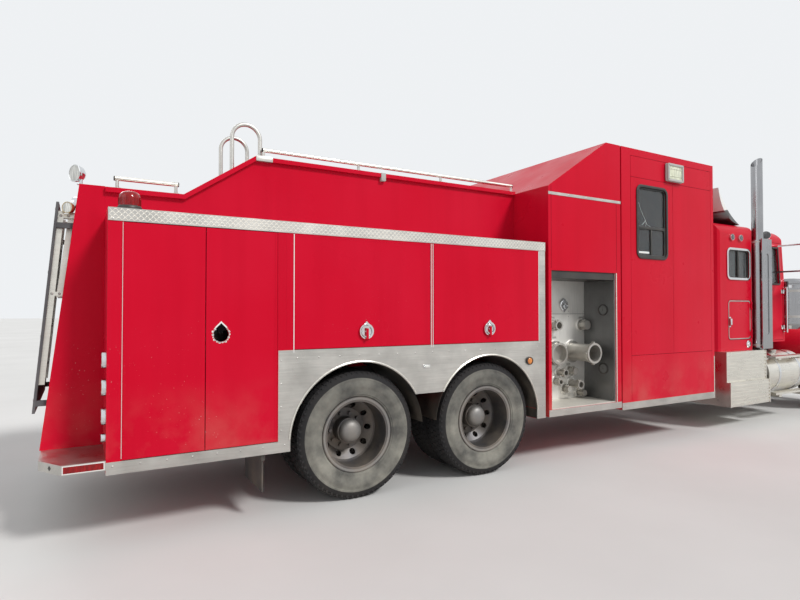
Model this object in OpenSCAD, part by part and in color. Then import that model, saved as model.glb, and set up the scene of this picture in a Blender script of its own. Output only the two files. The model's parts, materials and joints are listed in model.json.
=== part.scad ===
/* [Overall] */
// Width over the body side panels
body_w = 2540; // [2500:10:2600]
// Distance of the locker fronts from the middle of the truck, towards the rear
locker_front = 1400; // [1395:5:1405]
// Thickness of doors and lap panels
skin = 20; // [15:1:25]
// Gap round a door or lid
door_gap = 5; // [5:1:8]

/* [Chassis] */
// Height of the top of the frame rails
frame_top = 1050; // [1040:1:1060]
// Height of a frame rail
rail_h = 270; // [240:5:280]
// Width of a rail flange
rail_flange = 90; // [70:5:100]
// Thickness of the rail section
rail_t = 10; // [8:1:14]
// Distance of a rail web from the middle
rail_y = 430; // [410:5:435]

/* [Wheels] */
// Outer radius of a tyre
tyre_r = 542; // [530:1:550]
// Width of a tyre
tyre_w = 280; // [270:1:285]
// Radius of the rim flange
rim_r = 318; // [310:1:322]
// Distance between the two tyres of a twin wheel
twin_gap = 330; // [325:1:340]
// Middle of the outer rear tyre from the middle of the truck
twin_y = 1085; // [1080:1:1090]
// Middle of a front tyre from the middle of the truck
steer_y = 985; // [980:1:990]
// Distance between the two rear axles
tandem_gap = 1370; // [1350:5:1400]
// Radius of the body's wheel arches
arch_r = 615; // [600:1:625]
// Kingpin distance from the middle of the truck
kingpin_y = 880; // [875:1:885]

/* [Lockers] */
// Length of a side locker
locker_len = 3990; // [3900:10:4000]
// Depth of a side locker
locker_d = 530; // [480:10:560]
// Height of the locker underside
locker_z0 = 490; // [450:5:520]
// Height of the locker top
locker_z1 = 2285; // [2250:5:2320]
// Height of the aluminium trim along the locker bottom and top
trim_h = 85; // [70:1:100]
// Height where the lift doors end and the arch panel begins
arch_panel_z = 1280; // [1240:5:1300]
// Length of the tall double doors
tall_len = 1070; // [1000:10:1100]

/* [Tank] */
// Height of the tank top
tank_z = 2880; // [2800:5:2950]
// Height of the lower rear deck
deck_z = 2490; // [2450:5:2550]

/* [Pump house] */
// Length of the pump house
pump_len = 1120; // [1100:10:1150]
// Depth of the pump recess
recess_d = 444; // [420:5:460]
// Height of the opening of the pump recess
recess_z1 = 2010; // [1950:5:2100]
// Height of the pump house and crew cabin roof
roof_z = 3470; // [3400:5:3500]
// Height where the sloped pump house roof begins at the rear
slope_z = 2890; // [2880:5:3000]

/* [Crew cabin] */
// Length of the crew cabin
crew_len = 1790; // [1700:10:1800]
// Wall thickness of the crew cabin
crew_wall = 40; // [30:1:50]
// Height of the crew cabin floor
crew_floor_z = 1090; // [1085:5:1120]

/* [Sleeper and cab] */
// Length of the sleeper
sleeper_len = 940; // [900:10:950]
// Half width of the sleeper
sleeper_y = 1130; // [1120:1:1140]
// Height of the sleeper and cab roof
cab_roof_z = 2800; // [2780:1:2830]
// Length of the cab
cab_len = 1130; // [1120:1:1140]
// Half width of the cab
cab_y = 980; // [970:1:982]
// Thickness of the cab walls and doors
cab_wall = 45; // [35:1:50]
// Height of the cab floor
cab_z0 = 1110; // [1100:5:1130]

/* [Hood] */
// Length of the hood
hood_len = 1790; // [1780:1:1800]
// Half width of the hood at the cab
hood_y = 620; // [600:1:640]
// Height of the hood at the cab
hood_z = 2040; // [2020:1:2060]
// Outer face of a fender from the middle of the truck
fender_y = 1200; // [1180:1:1210]
// Thickness of the fender and hood shell
shell = 12; // [10:1:15]

/* [Hidden] */
$fn = 64;
eps = 0.4;
yb = body_w / 2;
ylock = yb - skin;

x_lock1 = -locker_front;
x_lock0 = x_lock1 - locker_len;
x_pump0 = x_lock1 + 50;
x_pump1 = x_pump0 + pump_len;
x_crew0 = x_pump1 + 20;
x_crew1 = x_crew0 + crew_len;
x_slp0 = x_crew1 + 300;
x_slp1 = x_slp0 + sleeper_len;
x_cab0 = x_slp1;
x_cab1 = x_cab0 + cab_len;
x_hood0 = x_cab1 + 10;
x_hood1 = x_hood0 + hood_len;

x_front = x_hood1 - 680;
x_tandem = x_lock1 - 1415;
x_rear = [x_tandem - tandem_gap / 2, x_tandem + tandem_gap / 2];
axle_z = tyre_r;

step_z0 = 525;
step_z1 = 590;
rail_z0 = frame_top - rail_h;
y_lock0 = yb - locker_d;
tank_y = y_lock0;

// Door edges along the truck: tall rear, tall front, lift rear, lift front
x_tall0 = x_lock0 + 100;
x_tall1 = x_tall0 + tall_len;
x_tallm = (x_tall0 + x_tall1) / 2;
x_post0 = x_tall1 + 135;
x_postm = x_lock1 - 1390;
x_corner = x_lock1 - 85;
z_door0 = locker_z0 + trim_h + 5;
z_door1 = locker_z1 - trim_h;

// Front edge of the sleeper's luggage hatch, and heights of its hinges
x_hatch1 = x_slp1 - 120;
hatch_hinge_z = [1230, 1625];

// Door latches: height, radius, and radius of the hole left by a missing one
latch_z = 1415;
latch_r = 62;
latch_hole_r = 55;

// Lamps on the rear face of the lockers: height, radius
tail_lamps = [[1254, 60], [1066, 60], [869, 60], [723, 30]];

// Height of the small lamp at the ladder's top
ladder_lamp_z = 2347;

// Pump fittings: along the truck, height, outer radius, inner radius, reach, capped
fittings = [
    [-830, 1100, 125, 100, 90, 0],
    [-550, 1110, 115, 92, 340, 0],
    [-860, 1420, 55, 38, 110, 0],
    [-400, 1420, 55, 38, 90, 1],
    [-594, 890, 45, 30, 90, 1],
    [-767, 880, 40, 28, 120, 0],
    [-570, 740, 50, 34, 160, 0],
    [-680, 690, 38, 26, 80, 1],
    [-825, 780, 36, 24, 100, 0],
    [-450, 630, 36, 24, 90, 1]];

// Heights of the two round gauges on the recess's front side wall
gauge_z = [1595, 925];

// Hood hinge, top and front end of the frame horns, and the bumper's face
x_hinge = x_hood1 - 40;
z_hinge = 890;
horn_z = 815;
horn_t = 30;
x_bumper = x_hood1 + 90;
x_horn = x_bumper - 60;

// Exhaust stacks: place, distance from the middle, radii of pipe and silencer, heights
x_stack = x_slp1 + 125;
stack_y = ylock - 140;
stack_r = 75;
silencer_r = 120;
silencer_z0 = 1060;
silencer_z1 = 2600;
stack_z = 3810;

fender_top = 1120;

// Underside of the tank over the tyres, half width of its foot, ends of its sloping deck,
// height of the low wall along its top edges, and its manhole
tank_z0 = max(2 * tyre_r + 66, frame_top + 100);
tank_foot_y = twin_y - twin_gap - tyre_w / 2 - 25;
x_slope0 = x_lock0 + 570;
x_slope1 = x_slope0 + 580;
coaming = 32;
x_manhole = x_pump0 - 600;
manhole_r = 260;

// Half width and length of the rear bay's floor and top, and height of its top
bay_floor = 400;
bay_top = 170;
bay_z1 = 2530;

// Board behind the rear face: its outermost station, lowest and highest point, how far its top
// leans forward, its half width and thickness
x_board = x_lock0 - bay_floor - 50;
board_z0 = 850;
board_z1 = 2390;
board_lean = 135;
board_y = tank_y - 40;
board_t = 18;

// A box between two corners
module slab(x0, x1, y0, y1, z0, z1) {
    translate([x0, y0, z0]) cube([x1 - x0, y1 - y0, z1 - z0]);
}

// A side view outline (along, up) made into a solid between two widths
module side_form(y0, y1) {
    translate([0, y1, 0]) rotate([90, 0, 0]) linear_extrude(y1 - y0) children();
}

// A front view outline (across, up) made into a solid between two stations
module front_form(x0, x1) {
    translate([x0, 0, 0]) rotate([90, 0, 90]) linear_extrude(x1 - x0) children();
}

// A rod along the truck, across it, or upright
module rod_x(x0, x1, y, z, r) { translate([x0, y, z]) rotate([0, 90, 0]) cylinder(h = x1 - x0, r = r); }
module rod_y(x, y0, y1, z, r) { translate([x, y1, z]) rotate([90, 0, 0]) cylinder(h = y1 - y0, r = r); }
module rod_z(x, y, z0, z1, r) { translate([x, y, z0]) cylinder(h = z1 - z0, r = r); }

// A straight rod between two points
module strut(a, b, r) {
    d = b - a;
    translate(a) rotate([0, acos(d[2] / norm(d)), atan2(d[1], d[0])]) cylinder(h = norm(d), r = r);
}

// A rectangle with rounded corners, from its two corners
module round_rect(a0, a1, b0, b1, r) {
    translate([a0 + r, b0]) square([a1 - a0 - 2 * r, b1 - b0]);
    translate([a0, b0 + r]) square([a1 - a0, b1 - b0 - 2 * r]);
    for (a = [a0 + r, a1 - r]) for (b = [b0 + r, b1 - r]) translate([a, b]) circle(r = r);
}

// Corner points of a rectangle whose corners are rounded in three flats
function cut_corners(a0, a1, b0, b1, r) = [
    for (c = [[a1 - r, b1 - r, 0], [a0 + r, b1 - r, 90], [a0 + r, b0 + r, 180], [a1 - r, b0 + r, 270]])
        for (i = [0:3]) [c[0] + r * cos(c[2] + i * 30), c[1] + r * sin(c[2] + i * 30)]];

// Geometry drawn for the left side, put on one side or on both
module on_side(side) { mirror([0, side < 0 ? 1 : 0, 0]) children(); }
module both_sides() { for (side = [-1, 1]) on_side(side) children(); }

// Section of one frame rail, web outwards
module rail_section() {
    difference() {
        translate([rail_y - rail_flange, rail_z0]) square([rail_flange, rail_h]);
        translate([rail_y - rail_flange - 1, rail_z0 + rail_t])
            square([rail_flange + 1 - rail_t, rail_h - 2 * rail_t]);
    }
}

// Frame rails with their front horns, the hood's hinge lugs and the mud flaps' stays
module chassis() {
    horn_y = rail_y - horn_t;
    x_flap = x_tall1 - 120;
    color("#26272a") both_sides() {
        front_form(x_lock0, x_hood1 - 240) rail_section();
        side_form(horn_y, rail_y) polygon([[x_hood1 - 241, rail_z0], [x_horn, rail_z0],
            [x_horn, horn_z], [x_hood1 - 190, horn_z], [x_hood1 - 241, frame_top]]);
        rod_y(x_hinge, horn_y, rail_y, z_hinge, 22);
        slab(x_hinge - 70, x_hinge, horn_y, rail_y, z_hinge - 22, z_hinge + 22);
        slab(x_hinge - 100, x_hinge - 60, horn_y, rail_y, horn_z - 1, z_hinge + 22);
        rod_y(x_hinge, horn_y, rail_y + 39, z_hinge, 10);
        slab(x_flap, x_flap + 30, rail_y, rail_y + 12, locker_z0 - 50, 900);
        slab(x_flap, x_flap + 30, rail_y, ylock, locker_z0 - 50, locker_z0 - eps);
        slab(x_flap + 9, x_flap + 21, y_lock0, ylock - 10, 200, locker_z0 - 45);
    }
}

// Cross members between the rails, and the drive shaft through them
module cross_members() {
    web = rail_y - rail_t - eps;
    shaft_r = 55;
    color("#26272a") {
        for (x = [x_lock0 + 80, x_tall1 - 80, x_tandem, x_lock1 + 200, 600, 2300, 3300, x_hood1 - 310])
            slab(x, x + 60, -web, web, rail_z0 + 40, frame_top - 40);
        slab(x_horn - 60, x_horn, horn_t + eps - rail_y, rail_y - horn_t - eps, rail_z0, horn_z);
        rod_x(x_lock1 - 500, x_cab1 - 150, 0, rail_z0 + 40 - eps - shaft_r, shaft_r);
    }
}

module engine() {
    x0 = x_cab1 + 400;
    x1 = x0 + 1000;
    color("#5b5f63") {
        slab(x0, x1, -330, 330, frame_top - 250, 1700);
        both_sides() slab(x0 + 350, x0 + 550, 300, rail_y - 5, frame_top, frame_top + 50);
        slab(x1 + 80, x1 + 150, -400, 400, frame_top, 1750);
        slab(x1 - 10, x1 + 90, -60, 60, 1250, 1370);
        slab(x0 - 550, x0 + 1, -190, 190, 740, 1090);
    }
}

module front_axle() {
    color("#2b2c2f") {
        difference() {
            union() {
                slab(x_front - 45, x_front + 45, -kingpin_y, kingpin_y, axle_z - 60, axle_z + 60);
                both_sides() rod_z(x_front, kingpin_y, axle_z - 60, axle_z + 60, 45);
            }
            both_sides() rod_z(x_front, kingpin_y, axle_z - 62, axle_z + 62, 22.3);
            for (s = [-1, 1]) slab(x_front + s * 60 - 32, x_front + s * 60 + 32,
                120 - kingpin_y, kingpin_y - 120, axle_z - 37, axle_z + 38);
        }
        both_sides() {
            for (i = [0:4])
                slab(x_front - 640 + i * 90, x_front + 640 - i * 90, rail_y - 85, rail_y - 5,
                    axle_z + 140 - i * 16, axle_z + 154 - i * 16);
            slab(x_front - 90, x_front + 90, rail_y - 95, rail_y, axle_z + 58, axle_z + 160);
            for (s = [-1, 1])
                slab(x_front + s * 610 - 25, x_front + s * 610 + 25, rail_y - 75, rail_y - 15,
                    axle_z + 148, rail_z0);
        }
    }
}

module rear_axles() {
    color("#2b2c2f") {
        for (x = x_rear) {
            rod_y(x, -700, 700, axle_z, 70);
            rod_y(x, -900, 900, axle_z, 40);
            rod_x(x - 60, x + 240, 0, axle_z + 20, 120);
            translate([x, 0, axle_z]) sphere(r = 190);
        }
        both_sides() {
            slab(x_rear[0] - 90, x_rear[1] + 90, 470, 560, axle_z - 102, axle_z - 42);
            slab(x_tandem - 110, x_tandem + 110, rail_y, 560, axle_z - 72, frame_top - 60);
        }
    }
}

// Outline of the cab from the side, inset by t
module cab_side(t) {
    polygon([[x_cab0 + t, cab_z0 + t], [x_cab1 - t, cab_z0 + t], [x_cab1 - t, 2010],
        [x_cab1 - 70 - t, cab_roof_z - 110], [x_cab1 - 160 - t, cab_roof_z - t],
        [x_cab0 + t, cab_roof_z - t]]);
}

// Section of a rounded cabin from the front, inset by t
module cabin_section(half, z0, z1, r, t) {
    translate([-half + t, z0 + t]) square([2 * (half - t), z1 - z0 - r - t]);
    translate([-half + r, z0 + t]) square([2 * (half - r), z1 - z0 - 2 * t]);
    for (s = [-1, 1]) translate([s * (half - r), z1 - r]) circle(r = r - t);
}

module cab_form(t) {
    intersection() {
        side_form(-cab_y, cab_y) cab_side(t);
        front_form(x_cab0, x_cab1) cabin_section(cab_y, cab_z0, cab_roof_z, 150, t);
    }
}

// Outline of a cab door, larger by g
module cab_door_outline(g) {
    polygon([[x_cab0 + 260 - g, 1140 - g], [x_cab1 - 50 + g, 1140 - g], [x_cab1 - 50 + g, 2010],
        [x_cab1 - 115 + g, 2620 + g], [x_cab0 + 260 - g, 2620 + g]]);
}

// Outline of the window in a cab door, larger by g
module cab_window_outline(g) {
    polygon([[x_cab0 + 330 - g, 1990 - g], [x_cab1 - 130 + g, 1990 - g],
        [x_cab1 - 185 + g, 2550 + g], [x_cab0 + 330 - g, 2550 + g]]);
}

// The two halves of the windscreen, seen from the front
module screen_outline(g) {
    for (s = [-1, 1])
        translate([s * 450, 0]) round_rect(-400 - g, 400 + g, 2060 - g, 2620 + g, 60);
}

// Hinge with an upright pin on a side panel at y: its barrel goes with the door on the side dir
// points away from, and its pin with the two end lugs stays on the side that dir points to
module hinge_barrel(x, y, z, dir) {
    difference() {
        union() {
            rod_z(x, y + 12, z, z + 60, 12);
            translate([dir > 0 ? x - 45 : x, y - 1, z]) cube([45, 7, 60]);
        }
        rod_z(x, y + 12, z - 1, z + 61, 6.3);
    }
}
module hinge_pin(x, y, z, dir) {
    rod_z(x, y + 12, z - 25, z + 85, 6);
    for (a = [z - 25, z + 60 + eps]) {
        rod_z(x, y + 12, a, a + 25 - eps, 12);
        translate([dir > 0 ? x : x - 45, y - 1, a]) cube([45, 7, 25 - eps]);
    }
}

module cab() {
    color("#b3111f") {
        difference() {
            cab_form(0);
            cab_form(cab_wall);
            both_sides() side_form(cab_y - cab_wall - 20, cab_y + 1) cab_door_outline(door_gap);
            front_form(x_cab1 - 200, x_cab1 + 1) screen_outline(0);
            slab(x_cab0 - 1, x_cab0 + cab_wall + 1, -700, 700, cab_z0 + 90, 2600);
        }
        both_sides() {
            rod_z(x_cab1 - 20, cab_y + 45, 1250, 1950, 13);
            for (z = [1280, 1920]) rod_y(x_cab1 - 20, cab_y - 5, cab_y + 45, z, 13);
            for (z = [1300, 1850]) hinge_pin(x_cab1 - 47.5, cab_y, z, 1);
            for (x = [x_cab0 + 120, x_cab1 - 200])
                slab(x, x + 90, rail_y - 80, rail_y, frame_top, cab_z0 + 1);
        }
    }
}

module sleeper_form(t) {
    intersection() {
        translate([0, 0, 1030 + t]) linear_extrude(cab_roof_z - 1030 - 2 * t)
            polygon(cut_corners(x_slp0 + t, x_slp1 - eps - t, -sleeper_y + t, sleeper_y - t, 90 - t));
        front_form(x_slp0, x_slp1) cabin_section(sleeper_y, 1030, cab_roof_z, 150, t);
    }
}

module hatch_outline(g) { round_rect(x_hatch1 - 550 - g, x_hatch1 + g, 1185 - g, 1730 + g, 50); }
module sleeper_window_outline(g) {
    round_rect(x_hatch1 - 560 - g, x_hatch1 - 10 + g, 2030 - g, 2440 + g, 60);
}

module sleeper() {
    color("#b3111f") difference() {
        sleeper_form(0);
        sleeper_form(cab_wall);
        slab(x_slp0 - 1, x_slp1 + 1, -rail_y - 20, rail_y + 20, 1000, frame_top);
        both_sides() {
            side_form(sleeper_y - cab_wall - 1, sleeper_y + 1) hatch_outline(door_gap);
            side_form(sleeper_y - cab_wall - 1, sleeper_y + 1) sleeper_window_outline(0);
        }
        slab(x_slp1 - cab_wall - 60, x_slp1 + 1, -700, 700, cab_z0 + 90, 2600);
    }
    color("#b3111f") both_sides() {
        for (z = hatch_hinge_z) hinge_pin(x_hatch1 + door_gap / 2, sleeper_y, z, 1);
        slab(x_hatch1 - 300, x_hatch1 - 270, sleeper_y - 19.6, sleeper_y - 8, 2020, 2450);
    }
}

// Crew window: rear and front edge, height of its middle bar
x_window0 = x_crew0 + 272;
x_window1 = x_window0 + 548;
window_bar_z = 2550;

module crew_window_outline(g) { round_rect(x_window0 - g, x_window1 + g, 2210 - g, 3050 + g, 70); }

// Rear and front groove between the crew cabin's side panels
x_groove = [x_crew0 + 160, x_crew1 - 60];

module crew_cabin() {
    color("#b3111f") difference() {
        slab(x_crew0, x_crew1, -yb, yb, 460, roof_z);
        slab(x_crew0 + crew_wall, x_crew1 - crew_wall, -yb + crew_wall, yb - crew_wall,
            crew_floor_z, roof_z - crew_wall);
        slab(x_crew0 - 1, x_crew1 + 1, -rail_y - 20, rail_y + 20, 400, frame_top);
        both_sides() {
            slab(x_crew0 + crew_wall, x_crew1 - crew_wall, rail_y + 60, yb - crew_wall, 400, frame_top);
            side_form(yb - crew_wall - 1, yb + 1) crew_window_outline(0);
            for (z = [1070, roof_z - 330, roof_z - 85])
                slab(x_groove[0], x_groove[1], yb - 3, yb + 1, z - 2, z + 2);
            for (x = x_groove) slab(x - 2, x + 2, yb - 3, yb + 1, 560, roof_z - 85);
            slab(x_window1 + 121, x_window1 + 125, yb - 3, yb + 1, 1070, roof_z - 330);
        }
    }
    color("#b3111f") both_sides()
        slab(x_window0 - 22, x_window1 + 22, yb - 17.6, yb - 8, window_bar_z, window_bar_z + 28);
}

// Outline of a seat from the side, from its rear foot
module seat_outline(x, z) {
    polygon([[x, z], [x + 420, z], [x + 420, z + 330], [x + 520, z + 350], [x + 520, z + 450],
        [x + 120, z + 430], [x + 20, z + 1000], [x - 90, z + 980]]);
}

module seats() {
    color("#3a3532") {
        both_sides() side_form(250, 750) seat_outline(x_cab0 + 250, cab_z0 + cab_wall);
        side_form(-1000, 1000) seat_outline(x_crew0 + 160, crew_floor_z);
        slab(x_cab1 - 330, x_cab1 - 60, -900, 900, 1750, 1940);
        both_sides() slab(x_cab1 - 330, x_cab1 - 50, 800, 900, cab_z0 + cab_wall, 1760);
        strut([x_cab1 - 200, 500, 1700], [x_cab1 - 440, 500, 1960], 25);
        translate([x_cab1 - 440, 500, 1960]) rotate([0, -43, 0])
            rotate_extrude() translate([220, 0]) circle(r = 16, $fn = 24);
        translate([x_cab1 - 440, 500, 1960]) rotate([0, -43, 0]) {
            rod_x(-215, 215, 0, 0, 12);
            rod_y(0, -215, 215, 0, 12);
        }
    }
}

module glazing() {
    color("#20262a") {
        both_sides() {
            side_form(sleeper_y - 26, sleeper_y - 20) sleeper_window_outline(-eps);
            side_form(yb - 26, yb - 18) crew_window_outline(-eps);
        }
        intersection() {
            front_form(x_cab1 - 200, x_cab1 + 1) screen_outline(-eps);
            side_form(-cab_y, cab_y) polygon([
                [x_cab1 - 20, 2010], [x_cab1 - 26, 2010],
                [x_cab1 - 96, cab_roof_z - 110], [x_cab1 - 90, cab_roof_z - 110]]);
        }
    }
}

module pump_house() {
    color("#b3111f") difference() {
        side_form(-yb, yb) polygon([[x_pump0, locker_z0], [x_pump1, locker_z0], [x_pump1, roof_z],
            [x_pump1 - 234, roof_z], [x_pump0, slope_z]]);
        slab(x_pump0 - 1, x_pump1 + 1, -rail_y - 20, rail_y + 20, 400, frame_top);
        both_sides() slab(x_pump0 + 40, x_pump1 - 84, yb - recess_d, yb + 1, locker_z0 + 70, recess_z1);
    }
}

module pump_panel() {
    x0 = x_pump0 + 40;
    x1 = x_pump1 - 84;
    y0 = yb - recess_d;
    z0 = locker_z0 + 70;
    color("#a9adb0") both_sides() difference() {
        slab(x0 + eps, x1 - eps, y0 + eps, yb - 10, z0 + eps, recess_z1 - eps);
        slab(x0 + 6, x1 - 6, y0 + 8, yb + 1, z0 + 6, recess_z1 + 1);
    }
}

// One pump fitting: flange, neck, coupling ring with lugs, open bore or a cap
module fitting(x, z, r, bore, reach, capped) {
    y0 = yb - recess_d + 8 + eps;
    difference() {
        union() {
            rod_y(x, y0, y0 + 14, z, r * 1.12);
            rod_y(x, y0, y0 + reach, z, r * 0.86);
            rod_y(x, y0 + reach - 40, y0 + reach, z, r);
            for (a = [30, 150, 270])
                translate([x, y0 + reach - 12, z]) rotate([90, a, 0])
                    translate([r - 5, -9, 0]) cube([17, 18, 18]);
            if (capped) rod_y(x, y0 + reach, y0 + reach + 16, z, r * 0.95);
        }
        if (!capped) rod_y(x, y0 + 20, y0 + reach + 1, z, bore);
    }
}

module pump_fittings() {
    color("#8d8f90") both_sides() {
        for (f = fittings) fitting(f[0], f[1], f[2], f[3], f[4], f[5] == 1);
        for (z = gauge_z) rod_x(x_pump1 - 115, x_pump1 - 90 - eps, 1114, z, 63.5);
        rod_y(-690, yb - recess_d + 8 + eps, yb - recess_d + 30, 1650, 60);
    }
}

module tank() {
    color("#b3111f") {
        side_form(-tank_y + eps, tank_y - eps) polygon([[x_lock0, tank_z0], [x_pump0 - eps, tank_z0],
            [x_pump0 - eps, tank_z], [x_slope1, tank_z], [x_slope0, deck_z], [x_lock0, deck_z]]);
        slab(x_lock0, x_pump0 - eps, -tank_foot_y, tank_foot_y, frame_top, tank_z0 + 1);
        both_sides() side_form(tank_y - 30, tank_y + 30) polygon([[x_pump0 - eps, tank_z - 5],
            [x_slope1 - 5, tank_z - 5], [x_slope0 - 5, deck_z - 5], [x_lock0, deck_z - 5],
            [x_lock0, deck_z + coaming], [x_slope0 - 15, deck_z + coaming],
            [x_slope1 - 15, tank_z + coaming], [x_pump0 - eps, tank_z + coaming]]);
        rod_z(x_manhole, 0, tank_z - 5, tank_z + 120, manhole_r);
        rod_z(x_manhole, 0, tank_z + 110, tank_z + 140, manhole_r + 25);
    }
}

// Locker side outline with the two wheel arches cut out
module locker_outline(z1) {
    difference() {
        translate([x_lock0, locker_z0]) square([locker_len, z1 - locker_z0]);
        for (x = x_rear) translate([x, axle_z]) circle(r = arch_r);
        translate([x_rear[0], 0]) square([tandem_gap, 850]);
        translate([x_rear[0] - arch_r, 0]) square([tandem_gap + 2 * arch_r, axle_z]);
    }
}

// A locker's plates from station x0 to x1: floor, roof, back and the two end walls round its room
module locker_box(x0, x1, room0, room1, z0, floor_z) {
    roof_z = z_door1 - 30;
    back_y = y_lock0 + skin;
    slab(x0, x1, y_lock0, ylock, z0, floor_z);
    slab(x0, x1, y_lock0, ylock, roof_z, locker_z1);
    slab(x0, x1, y_lock0, back_y, floor_z + eps, roof_z - eps);
    for (x = [[x0, room0], [room1, x1]])
        slab(x[0], x[1], back_y + eps, ylock, floor_z + eps, roof_z - eps);
}

// Tall locker, lift-door lockers with a wall between them, door posts, and the wheel housing
module lockers() {
    x_join = x_tall1 + 70;
    shelf_z = arch_panel_z - 40;
    post_half = 15;
    wall_half = 2 * post_half;
    color("#b3111f") {
        locker_box(x_lock0, x_join, x_lock0 + 40, x_tall1 + 30, locker_z0, z_door0 + 30);
        locker_box(x_join + eps, x_lock1, x_post0 + 30, x_corner - 30, shelf_z, arch_panel_z + 30);
        slab(x_postm - wall_half, x_postm + wall_half, y_lock0 + skin + eps, ylock,
            arch_panel_z + 30 + eps, z_door1 - 30 - eps);
        for (post = [[x_lock0, x_tall0 - door_gap, z_door0 - 5],
                [x_tall1 + door_gap, x_join, arch_panel_z],
                [x_join + eps, x_post0 - door_gap, arch_panel_z],
                [x_postm - post_half, x_postm + post_half, arch_panel_z]])
            slab(post[0], post[1], ylock + eps, yb, post[2], z_door1);
        side_form(y_lock0, ylock) intersection() {
            locker_outline(shelf_z - eps);
            translate([x_join + eps, 0]) square([locker_len, shelf_z]);
        }
    }
}

module body_trim() {
    color("#b9bcbe") both_sides() {
        side_form(ylock + eps, yb) difference() {
            locker_outline(arch_panel_z - eps);
            translate([x_lock0 - 1, z_door0 - 5]) square([x_tall1 + door_gap + 1 - x_lock0, 2000]);
        }
        slab(x_lock0, x_lock1, ylock + eps, yb + 5, z_door1 + eps, locker_z1);
        slab(x_corner, x_lock1, ylock + eps, yb, arch_panel_z - 1, z_door1 + 1);
        slab(x_lock0, x_lock1, tank_y + 30 + eps, yb + 5, locker_z1 + eps, locker_z1 + 5);
        for (x = x_rear) side_form(yb - 1, yb + 6) difference() {
            translate([x, axle_z]) circle(r = arch_r + 14);
            translate([x, axle_z]) circle(r = arch_r);
            translate([x - arch_r - 20, -200]) square([2 * arch_r + 40, 1050]);
        }
        slab(x_crew0 - 10, x_crew1, yb, yb + 4, 460, 540);
        slab(x_pump0, x_pump1, yb, yb + 4, locker_z0, locker_z0 + 70);
        slab(x_pump0, x_pump1, yb, yb + 4, 2800, 2830);
    }
}

module rear_bay() {
    color("#a50f1c") side_form(-tank_y, tank_y) polygon([[x_lock0 - eps, step_z1],
        [x_lock0 - bay_floor, step_z1], [x_lock0 - bay_top, bay_z1], [x_lock0 - eps, bay_z1]]);
}

// Stations of the sloping rear face and of the steeper board behind it, at a height
function bay_x(z) = x_lock0 - bay_floor + (z - step_z1) * (bay_floor - bay_top) / (bay_z1 - step_z1);
function board_x(z) = x_board + (z - board_z0) * board_lean / (board_z1 - board_z0);

// A strip across the truck with its rear and front edges at given stations below and above
module strip(y0, y1, z0, z1, rear0, front0, rear1, front1) {
    side_form(y0, y1) polygon([[rear0, z0], [front0, z0], [front1, z1], [rear1, z1]]);
}

module rear_board() {
    color("#33373b") {
        strip(-board_y, board_y, board_z0, board_z1, x_board, x_board + board_t,
            board_x(board_z1), board_x(board_z1) + board_t);
        for (z = [board_z0 + 50, board_z1 - 190])
            for (y = [[5 - board_y, 35 - board_y], [board_y - 200, board_y - 160]])
                strip(y[0], y[1], z, z + 40, board_x(z) + board_t - 1, bay_x(z) - eps,
                    board_x(z + 40) + board_t - 1, bay_x(z + 40) - eps);
    }
}

module rear_step() {
    color("#a9adb0") {
        translate([0, 0, step_z0]) linear_extrude(step_z1 - step_z0) polygon([
            [x_lock0 - eps, -yb], [x_lock0 - 255, -yb], [x_lock0 - 390, -yb + 220],
            [x_lock0 - 390, yb - 220], [x_lock0 - 255, yb], [x_lock0 - eps, yb]]);
        both_sides() slab(x_lock0, x_lock0 + 60, rail_y - 30, rail_y - 15, step_z0, rail_z0);
        slab(x_lock0 - 55, x_lock0 + 60, -rail_y + 15, rail_y - 15, step_z0, step_z0 + 30);
    }
}

// Two ladder sections, one behind the other, held to the body by cross clamps
module ladder() {
    low = 1050;
    high = 2330;
    inner_low = 1690;
    behind = board_t + eps;
    right = 100 - tank_y;
    width = 460;
    color("#c4c7c8") {
        for (y = [right, right + width]) {
            strip(y - 18, y + 18, low, high, board_x(low) + behind, board_x(low) + 56,
                board_x(high) + behind, board_x(high) + 56);
            for (z = [inner_low + 10, high - 50])
                strip(y - (y == right ? 18 : 56), y + (y == right ? 56 : 18), z, z + 30,
                    board_x(z) + 40, bay_x(z) - eps, board_x(z + 30) + 40, bay_x(z + 30) - eps);
        }
        for (z = [low + 130:300:high - 50]) rod_y(board_x(z) + 38, right, right + width, z, 14);
        for (y = [right + 40, right + width - 40])
            strip(y - 16, y + 16, inner_low, high, bay_x(inner_low) - 42, bay_x(inner_low) - 4,
                bay_x(high) - 42, bay_x(high) - 4);
        for (z = [inner_low + 170:300:high - 50]) rod_y(bay_x(z) - 23, right + 40, right + width - 40, z, 12);
    }
}

// An inverted U of tube in the side plane
module hoop(x0, x1, y, foot0, foot1, top, r) {
    bend = (x1 - x0) / 2;
    rod_z(x0, y, foot0, top - bend, r);
    rod_z(x1, y, foot1, top - bend, r);
    translate([x0 + bend, y, top - bend]) rotate([90, 0, 0])
        rotate_extrude(angle = 180) translate([bend, 0]) circle(r = r, $fn = 24);
}

// Height of the sloping tank deck at a station
function slope_at(x) = deck_z + (x - x_slope0) * (tank_z - deck_z) / (x_slope1 - x_slope0);

module roof_rails() {
    color("#d5d7d8") {
        for (y = [-tank_y + 50, -tank_y + 480])
            hoop(-4440, -4200, y, slope_at(-4422) + eps, tank_z + eps, 3190, 18);
        both_sides() {
            y = tank_y - 10;
            rod_x(-4190, x_pump0 - 20, y, 2980, 14);
            for (x = [-4180, -3270, -2330, x_pump0 - 30]) rod_z(x, y, tank_z + coaming + eps, 2980, 12);
            rod_x(x_lock0 + 60, x_lock0 + 520, y, deck_z + 110, 14);
            for (x = [x_lock0 + 80, x_lock0 + 500]) rod_z(x, y, deck_z + coaming + eps, deck_z + 110, 12);
        }
    }
}

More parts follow.
